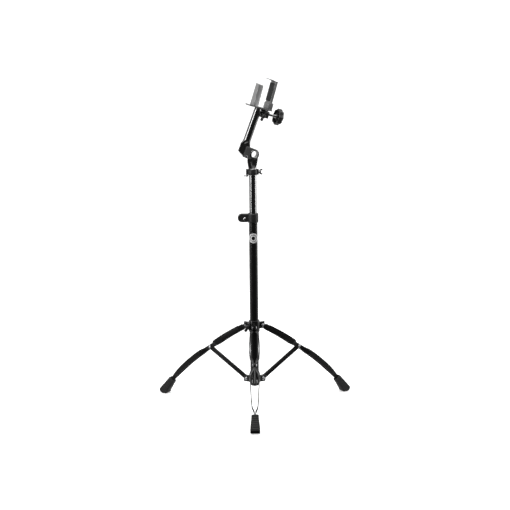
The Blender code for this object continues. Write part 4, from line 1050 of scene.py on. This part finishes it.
def tilt_cheek(side):
    # the ends of the rounded corners give way to the arc round the pivot
    outline = arc(0, 0, EYE_R, -100, 95, 72) + round_loop(CHEEK_CORNERS, 0.0030, 5)[6:-6]
    cheek = Solid(plate([outline, circle(SLEEVE_HOLE_R, 96),
                         circle(0.0028, 32, TILT_BOLT_X, TILT_BOLT_Z)], CHEEK_T, 'XZ'),
                  shift(TILT_FRAME, y=side * (CHEEK_Y + CHEEK_T / 2)))
    cheek.bevel(0.0006)
    return cheek


for side, tag in ((-1, "near"), (1, "far")):
    piece("friction_washer_" + tag,
          plate([circle(0.0146, 96), circle(SLEEVE_HOLE_R, 96)], WASHER_T, 'XZ'),
          "arm", NYLON, shift(TILT_FRAME, y=side * (WASHER_Y + WASHER_T / 2)))
    piece("tilt_cheek_" + tag, tilt_cheek(side), "arm", CHEEK_BLACK)

# radius, distance beyond the stack
SLEEVE_END = [(SLEEVE_BORE, 0.0010), (SLEEVE_BORE + 0.0003, 0.0013), (0.0128, 0.0013),
              (0.0136, 0.0010), (0.0140, 0.0005), (0.0140, GAP), (SLEEVE_R, GAP)]
piece("pivot_sleeve", turned(mirrored(raised(SLEEVE_END, STACK)), 128, closed=True),
      "arm", NICKEL_DARK, TILT_FRAME @ Z_TO_MINUS_Y)


def tilt_lock_bolt():
    """Socket-head bolt through both cheeks, its head to -Y."""
    head = [(0, 0.0048), (0.0036, 0.0048), (0.0041, 0.0045), (0.0043, 0.0039), (0.0043, GAP),
            (0.0025, GAP)]
    bolt = Solid(turned(raised(head, STACK) + [(0.0025, -STACK - 0.0005)]
                        + thread_profile(0.0025, -STACK - 0.0055, -STACK - 0.0005, 0.0008)[::-1]
                        + [(0.0020, -STACK - 0.0060), (0, -STACK - 0.0060)], 48),
                 shift(TILT_FRAME, TILT_BOLT_X, 0, TILT_BOLT_Z) @ Z_TO_MINUS_Y)
    bolt.cut(rod(0.0024, STACK + 0.0026, STACK + 0.0066, 'Z', 6))
    return bolt


piece("tilt_lock_bolt", tilt_lock_bolt(), "arm", ZINC)
NUT_T = 0.0040
nut = Solid(plate([circle(0.0046, 6), circle(0.0028, 32)], NUT_T, 'XZ'),
            shift(TILT_FRAME, TILT_BOLT_X, STACK + GAP + NUT_T / 2, TILT_BOLT_Z))
nut.bevel(0.0005)
piece("tilt_lock_nut", nut, "arm", ZINC)

# ------------------------------------------------------------------ arm
SPINDLE_FRAME = shift(CLAMP_FRAME, z=-0.0113)
PRESS_T = CHEEK_Y - GAP                      # half thickness of the foot between the cheeks
PRESS_R = 0.0162                             # half width of the foot
# region cut away below the foot: x, z
FOOT_CUT = [(-0.0190, -0.0041), (0.0040, -0.0154), (0.0046, -0.0102), (0.0190, -0.0064),
            (0.0190, -0.0240), (-0.0190, -0.0240)]


def arm_section(z, a):
    """Section at z: flattened foot, then round tube."""
    flat = smoothstep((0.0330 - z) / 0.0170)
    dent = 0.0017 * (smoothstep((0.0330 - z) / 0.009) - smoothstep((0.0210 - z) / 0.006))
    return pressed_point(a, UPPER_R * (1 + (PRESS_R / UPPER_R - 1) * flat),
                         UPPER_R * (1 + (PRESS_T / UPPER_R - 1) * flat), 0.6 * flat, dent)


def arm_tube():
    heights = [ARM_FOOT, -0.012, -0.006, 0.0, 0.006, 0.012]
    heights += [0.0150 + 0.0006 * k for k in range(32)]
    heights += [0.0345, 0.05, 0.07, 0.09, 0.11, 0.12, ARM_TOP + 0.0030]
    arm = Solid(pressed_tube(heights, arm_section), ARM_FRAME)
    arm.cut(rod(UPPER_BORE, 0.036, 0.140, 'Z', 96))
    arm.cut(plate([FOOT_CUT], 0.030, 'XZ'))
    # trimmed under the base plate, and drilled for the spindle's end
    arm.cut(block((-0.020, -0.020, -GAP), (0.020, 0.020, 0.020)), CLAMP_FRAME)
    arm.cut(rod(0.0046, 0.001, 0.015, 'X', 40), SPINDLE_FRAME)
    arm.bevel(0.0004, 2, 60)
    return arm


piece("arm_tube", arm_tube(), "arm", NICKEL, smooth=40)

# ------------------------------------------------------------------ drum clamp
PLATE_T, PLATE_HALF_W = 0.0040, 0.0165
PLATE_X0, PLATE_X1 = -0.0380, 0.0390
SLOT_X0, SLOT_X1, SLOT_HALF_W = 0.0185, 0.0360, 0.0050
JAW_BASE = PLATE_T + GAP
FIXED_X0, FIXED_X1, FIXED_TOP = -0.0240, -0.0084, 0.0690
FIXED_W0, FIXED_W1 = 0.0135, 0.0105          # half width at the plate and at the top
MOVING_X0, MOVING_X1, MOVING_TOP = 0.0242, 0.0319, 0.0880
MOVING_FOOT = 0.0160
SPINDLE_HOLE_R = 0.0044

base_plate = Solid(plate([rounded_rect(PLATE_X0, -PLATE_HALF_W, PLATE_X1, PLATE_HALF_W, 0.004, 12),
                          rounded_rect(SLOT_X0, -SLOT_HALF_W, SLOT_X1, SLOT_HALF_W, 0.002, 6)],
                         PLATE_T), shift(CLAMP_FRAME, z=PLATE_T / 2))
base_plate.bevel(0.0006)
piece("clamp_base_plate", base_plate, "arm", STEEL_PLATE)


def narrow(mesh, lift=0.0):
    """Narrows a fixed jaw piece with height; lift is the mesh's origin above the clamp's."""
    for vert in mesh.vertices:
        share = (vert.co.z + lift - PLATE_T) / (FIXED_TOP - PLATE_T)
        vert.co.y *= 1 + (FIXED_W1 / FIXED_W0 - 1) * share
    return mesh


def channel(x_face, x_tip, half_w):
    """Section of an upright channel with rounded corners, from its back to its flange tips."""
    back, wall, outer_r, inner_r = 0.0030, 0.0022, 0.0019, 0.0010
    points = []
    for i in range(7):
        a = radians(90 * i / 6)
        points.append((x_face + outer_r * (1 - cos(a)), -half_w + outer_r * (1 - sin(a))))
    points += [(x_tip, -half_w), (x_tip, -half_w + wall)]
    for i in range(5):
        a = radians(90 * i / 4)
        points.append((x_face + (back + inner_r * (1 - sin(a))),
                       -half_w + wall + inner_r * (1 - cos(a))))
    return points + [(x, -y) for x, y in reversed(points)]


def fixed_jaw():
    middle = (FIXED_TOP + JAW_BASE) / 2
    outline = channel(FIXED_X0, FIXED_X1, FIXED_W0)
    jaw = Solid(narrow(plate([outline], FIXED_TOP - JAW_BASE), middle),
                shift(CLAMP_FRAME, z=middle))
    # rounded top corners
    r, over = 0.0050, 0.002
    half_w = FIXED_W1 + 0.0002
    for side in (1, -1):
        y, z = side * (half_w - r), FIXED_TOP - r
        edge = side * (half_w + over)
        quarter = [(y + side * r * cos(radians(a)), z + r * sin(radians(a)))
                   for a in range(0, 91, 5)]
        corner = [(edge, z)] + quarter + [(y, FIXED_TOP + over), (edge, FIXED_TOP + over)]
        jaw.cut(plate([corner], FIXED_X1 - FIXED_X0 + 2 * over, 'YZ'),
                shift(CLAMP_FRAME, (FIXED_X0 + FIXED_X1) / 2))
    jaw.bevel(0.0005, 3, 45)
    return jaw


piece("fixed_jaw", fixed_jaw(), "arm", STEEL)
piece("fixed_jaw_pad",
      narrow(block((FIXED_X0 + 0.0033, -0.0109, 0.0080),
                   (FIXED_X1 + 0.0005, 0.0109, FIXED_TOP - 0.0060), 0.0008)),
      "arm", RUBBER, CLAMP_FRAME)

# hooked top of the moving jaw: x from its back's face, z from its top
HOOK = [(0.0022, -0.0100), (0.0005, -0.0030), (-0.0060, -0.0006), (-0.0212, 0.0012),
        (-0.0212, 0.0030), (-0.0040, 0.0015), (0.0045, -0.0010)]


def moving_jaw():
    jaw = Solid(plate([channel(MOVING_X0, MOVING_X1, 0.0153)], MOVING_TOP - MOVING_FOOT),
                shift(CLAMP_FRAME, z=(MOVING_TOP + MOVING_FOOT) / 2))
    hook = [(MOVING_X0 + x, MOVING_TOP + z) for x, z in HOOK]
    hook += [(MOVING_X1 - 0.0003, MOVING_TOP - 0.0050), (MOVING_X1 - 0.0003, MOVING_TOP - 0.0100)]
    jaw.fuse(plate([round_loop(hook, 0.0020, 5)], 0.0270, 'XZ'), CLAMP_FRAME)
    # foot on the base plate, and the neck through its slot
    jaw.fuse(block((0.0215, -0.0158, JAW_BASE), (0.0368, 0.0158, 0.0235), 0.0010), CLAMP_FRAME)
    jaw.fuse(block((0.0262, -0.0046, -0.0030), (0.0320, 0.0046, 0.0080)), CLAMP_FRAME)
    jaw.bevel(0.0005, 3, 50)
    return jaw


# the moving jaw takes the darker copy of the grey steel, which is painted shade
piece("moving_jaw", moving_jaw(), "jaw", STEEL_SHADED)
piece("moving_jaw_cover",
      block((MOVING_X0 - GAP - 0.0016, -0.0145, 0.0275),
            (MOVING_X0 - GAP, 0.0145, MOVING_TOP - 0.0060), 0.0006),
      "jaw", RUBBER, CLAMP_FRAME)

# ------------------------------------------------------------------ spindle and knob
LOCK_BOLT_X, LOCK_BOLT_Z = 0.0160, -0.0185

carriage = Solid(block((0.0255, -0.0113, -0.0235), (0.0345, 0.0113, -0.0033), 0.0018, 4),
                 CLAMP_FRAME)
carriage.cut(rod(SPINDLE_HOLE_R, 0.015, 0.045, 'X', 48), SPINDLE_FRAME)
piece("spindle_carriage", carriage, "jaw", PLASTIC)

nut_block = Solid(block((0.0118, -0.0115, -0.0240), (0.0200, 0.0115, -GAP), 0.0008), CLAMP_FRAME)
nut_block.cut(rod(SPINDLE_HOLE_R, 0.006, 0.026, 'X', 48), SPINDLE_FRAME)
nut_block.cut(rod(0.0028, -0.0130, -0.0035, 'Y', 32),
              shift(CLAMP_FRAME, LOCK_BOLT_X, 0, LOCK_BOLT_Z))
piece("spindle_nut_block", nut_block, "arm", PAINT)

piece("jaw_spindle",
      turned([(0, 0.0100), (0.0030, 0.0100)]
             + thread_profile(0.0040, 0.0106, 0.0640, 0.0010, 0.13)
             + [(0.0040, 0.0645), (0.0040, 0.0752), (0.0037, 0.0755), (0, 0.0755)], 64,
             axis='X'),
      "jaw_screw", CHROME, SPINDLE_FRAME)

KNOB_R, KNOB_T, KNOB_X, LOBES = 0.0245, 0.0178, 0.0713, 8
# radius, distance from the knob's hollow side
KNOB = [(0.0, KNOB_T), (0.0060, KNOB_T), (0.0120, KNOB_T - 0.0003), (0.0172, KNOB_T - 0.0009),
        (0.0212, KNOB_T - 0.0020), (0.0233, KNOB_T - 0.0035), (0.0242, KNOB_T - 0.0052),
        (KNOB_R, KNOB_T - 0.0070), (KNOB_R, 0.0028), (0.0242, 0.0014), (0.0235, 0.0005),
        (0.0226, 0.0), (0.0198, 0.0), (0.0193, 0.0006), (0.0191, 0.0080), (0.0180, 0.0084),
        (0.0095, 0.0084), (0.0082, 0.0078), (0.0079, 0.0006), (0.0074, 0.0), (0.0043, 0.0),
        (0.0043, 0.0138), (0.0, 0.0138)]


def lobed(a, r):
    """Radius of the knob with lobes worked into its rim."""
    if r <= 0.0211:
        return r
    return r - 0.0014 * (1 - cos(LOBES * a)) * min(1.0, r / KNOB_R)


def jaw_knob():
    place = shift(SPINDLE_FRAME, KNOB_X - KNOB_T / 2)
    knob = Solid(turned(KNOB, 192, axis='X', wave=lobed), place)
    for i in range(LOBES):
        # ribs between the rim and the hub, inside the hollow side
        knob.fuse(block((0.0030, -0.0007, 0.0075), (0.0095, 0.0007, 0.0198)),
                  place @ spin(2 * pi * (i + 0.5) / LOBES, 'X'))
    return knob


piece("jaw_knob", jaw_knob(), "jaw_screw", PLASTIC, smooth=35)
piece("spindle_lock_bolt",
      wing_screw(shift(CLAMP_FRAME, LOCK_BOLT_X, -0.0118, LOCK_BOLT_Z)
                 @ spin(radians(-64), 'Y') @ Z_TO_MINUS_Y,
                 shank_r=0.0025, shank_len=0.0070, hub_r=0.0060, hub_len=0.0100, span=0.0170,
                 height=0.0130, thick=0.0050),
      "lock_bolt", PLASTIC)

# ------------------------------------------------------------------ studio
scene = bpy.context.scene
scene.view_settings.view_transform = 'Standard'
scene.view_settings.look = 'None'


def floor_material():
    """Pale to the camera; the stand sees it pale at +Y and dark towards the camera."""
    material = bpy.data.materials.new("pale_floor")
    tree = Tree(material)
    patches = tree.noise(tree.coords(), 3.0, detail=4.0)
    seen = tree.add('BsdfPrincipled', {
        'Base Color': tree.ramp(patches, [(0.3, 0.90), (0.7, 0.93)]), 'Roughness': 0.8,
        'Specular IOR Level': 0.1, 'Emission Color': 1, 'Emission Strength': 0.42})
    position = tree.add('NewGeometry').outputs['Position']
    direction = tree.add('VectorMath', {0: position}, operation='NORMALIZE').outputs[0]
    y = tree.add('SeparateXYZ', {0: direction}).outputs[1]
    glow = tree.ramp(tree.unit(y), [(0.0, 0.020), (0.28, 0.030), (0.44, 0.18), (0.58, 0.55),
                                    (1.0, 0.85)])
    reflected = tree.add('Emission', {'Color': glow})
    tree.add('OutputMaterial', {0: tree.by_ray(reflected, seen)})
    return material


def studio_floor():
    bm = bmesh.new()
    bmesh.ops.create_circle(bm, cap_ends=True, segments=96, radius=26.0)
    mesh = bpy.data.meshes.new("studio_floor")
    bm.to_mesh(mesh)
    bm.free()
    ob = bpy.data.objects.new("studio_floor", mesh)
    ob.location = (0, 8.0, -0.0006)
    scene.collection.objects.link(ob)
    mesh.materials.append(floor_material())


def studio_world():
    """White to the camera; a bright +Y side, a dark camera side and light from above."""
    world = bpy.data.worlds.new("studio")
    scene.world = world
    tree = Tree(world)
    white = tree.add('Background', {0: 1, 1: 1.0})
    direction = tree.add('SeparateXYZ', {0: tree.add('TexCoord').outputs['Generated']})
    back = tree.ramp(tree.unit(direction.outputs[1]),
                     [(0.0, 0.02), (0.40, 0.05), (0.62, 0.45), (1.0, 0.9)])
    top = tree.ramp(direction.outputs[2], [(0.35, 0.0), (0.70, 0.30), (0.93, 2.0)])
    room = tree.add('Background', {0: tree.mix(1.0, back, top, 'ADD'), 1: 0.85})
    tree.add('OutputWorld', {0: tree.by_ray(room, white)})


def softbox(name, at, target, size, power):
    light = bpy.data.lights.new(name, 'AREA')
    light.shape = 'RECTANGLE'
    light.size, light.size_y = size
    light.energy = power
    light.color = (1, 1, 1)
    ob = bpy.data.objects.new(name, light)
    scene.collection.objects.link(ob)
    ob.location = at
    ob.rotation_euler = (Vector(target) - Vector(at)).to_track_quat('-Z', 'Y').to_euler()


def camera():
    pitch, roll, distance = radians(12.41), radians(0.577), 9.0
    view_width = 1.50501                     # width in view at the aim point
    look = Vector((0, cos(pitch), -sin(pitch)))
    aim = MAST + Vector((0.00446, 0, 0.45803))
    data = bpy.data.cameras.new("camera")
    data.sensor_width = 36.0
    data.lens = 36.0 * distance / view_width
    data.clip_end = 200
    ob = bpy.data.objects.new("camera", data)
    scene.collection.objects.link(ob)
    ob.location = aim - look * distance
    ob.rotation_euler = (look.to_track_quat('-Z', 'Y').to_matrix().to_4x4()
                         @ spin(-roll, 'Z')).to_euler()
    scene.camera = ob


studio_floor()
studio_world()
softbox("softbox_left", at=(-2.0, -1.1, 1.15), target=(0, 0.05, 0.50), size=(0.55, 2.2), power=26)
softbox("softbox_right", at=(2.05, 0.15, 1.15), target=(0, 0.05, 0.50), size=(0.55, 2.2), power=20)
softbox("softbox_top", at=(-0.4, -1.2, 2.7), target=(0, 0.05, 0.45), size=(1.8, 1.0), power=30)
camera()

bpy.data.collections.remove(WORK)
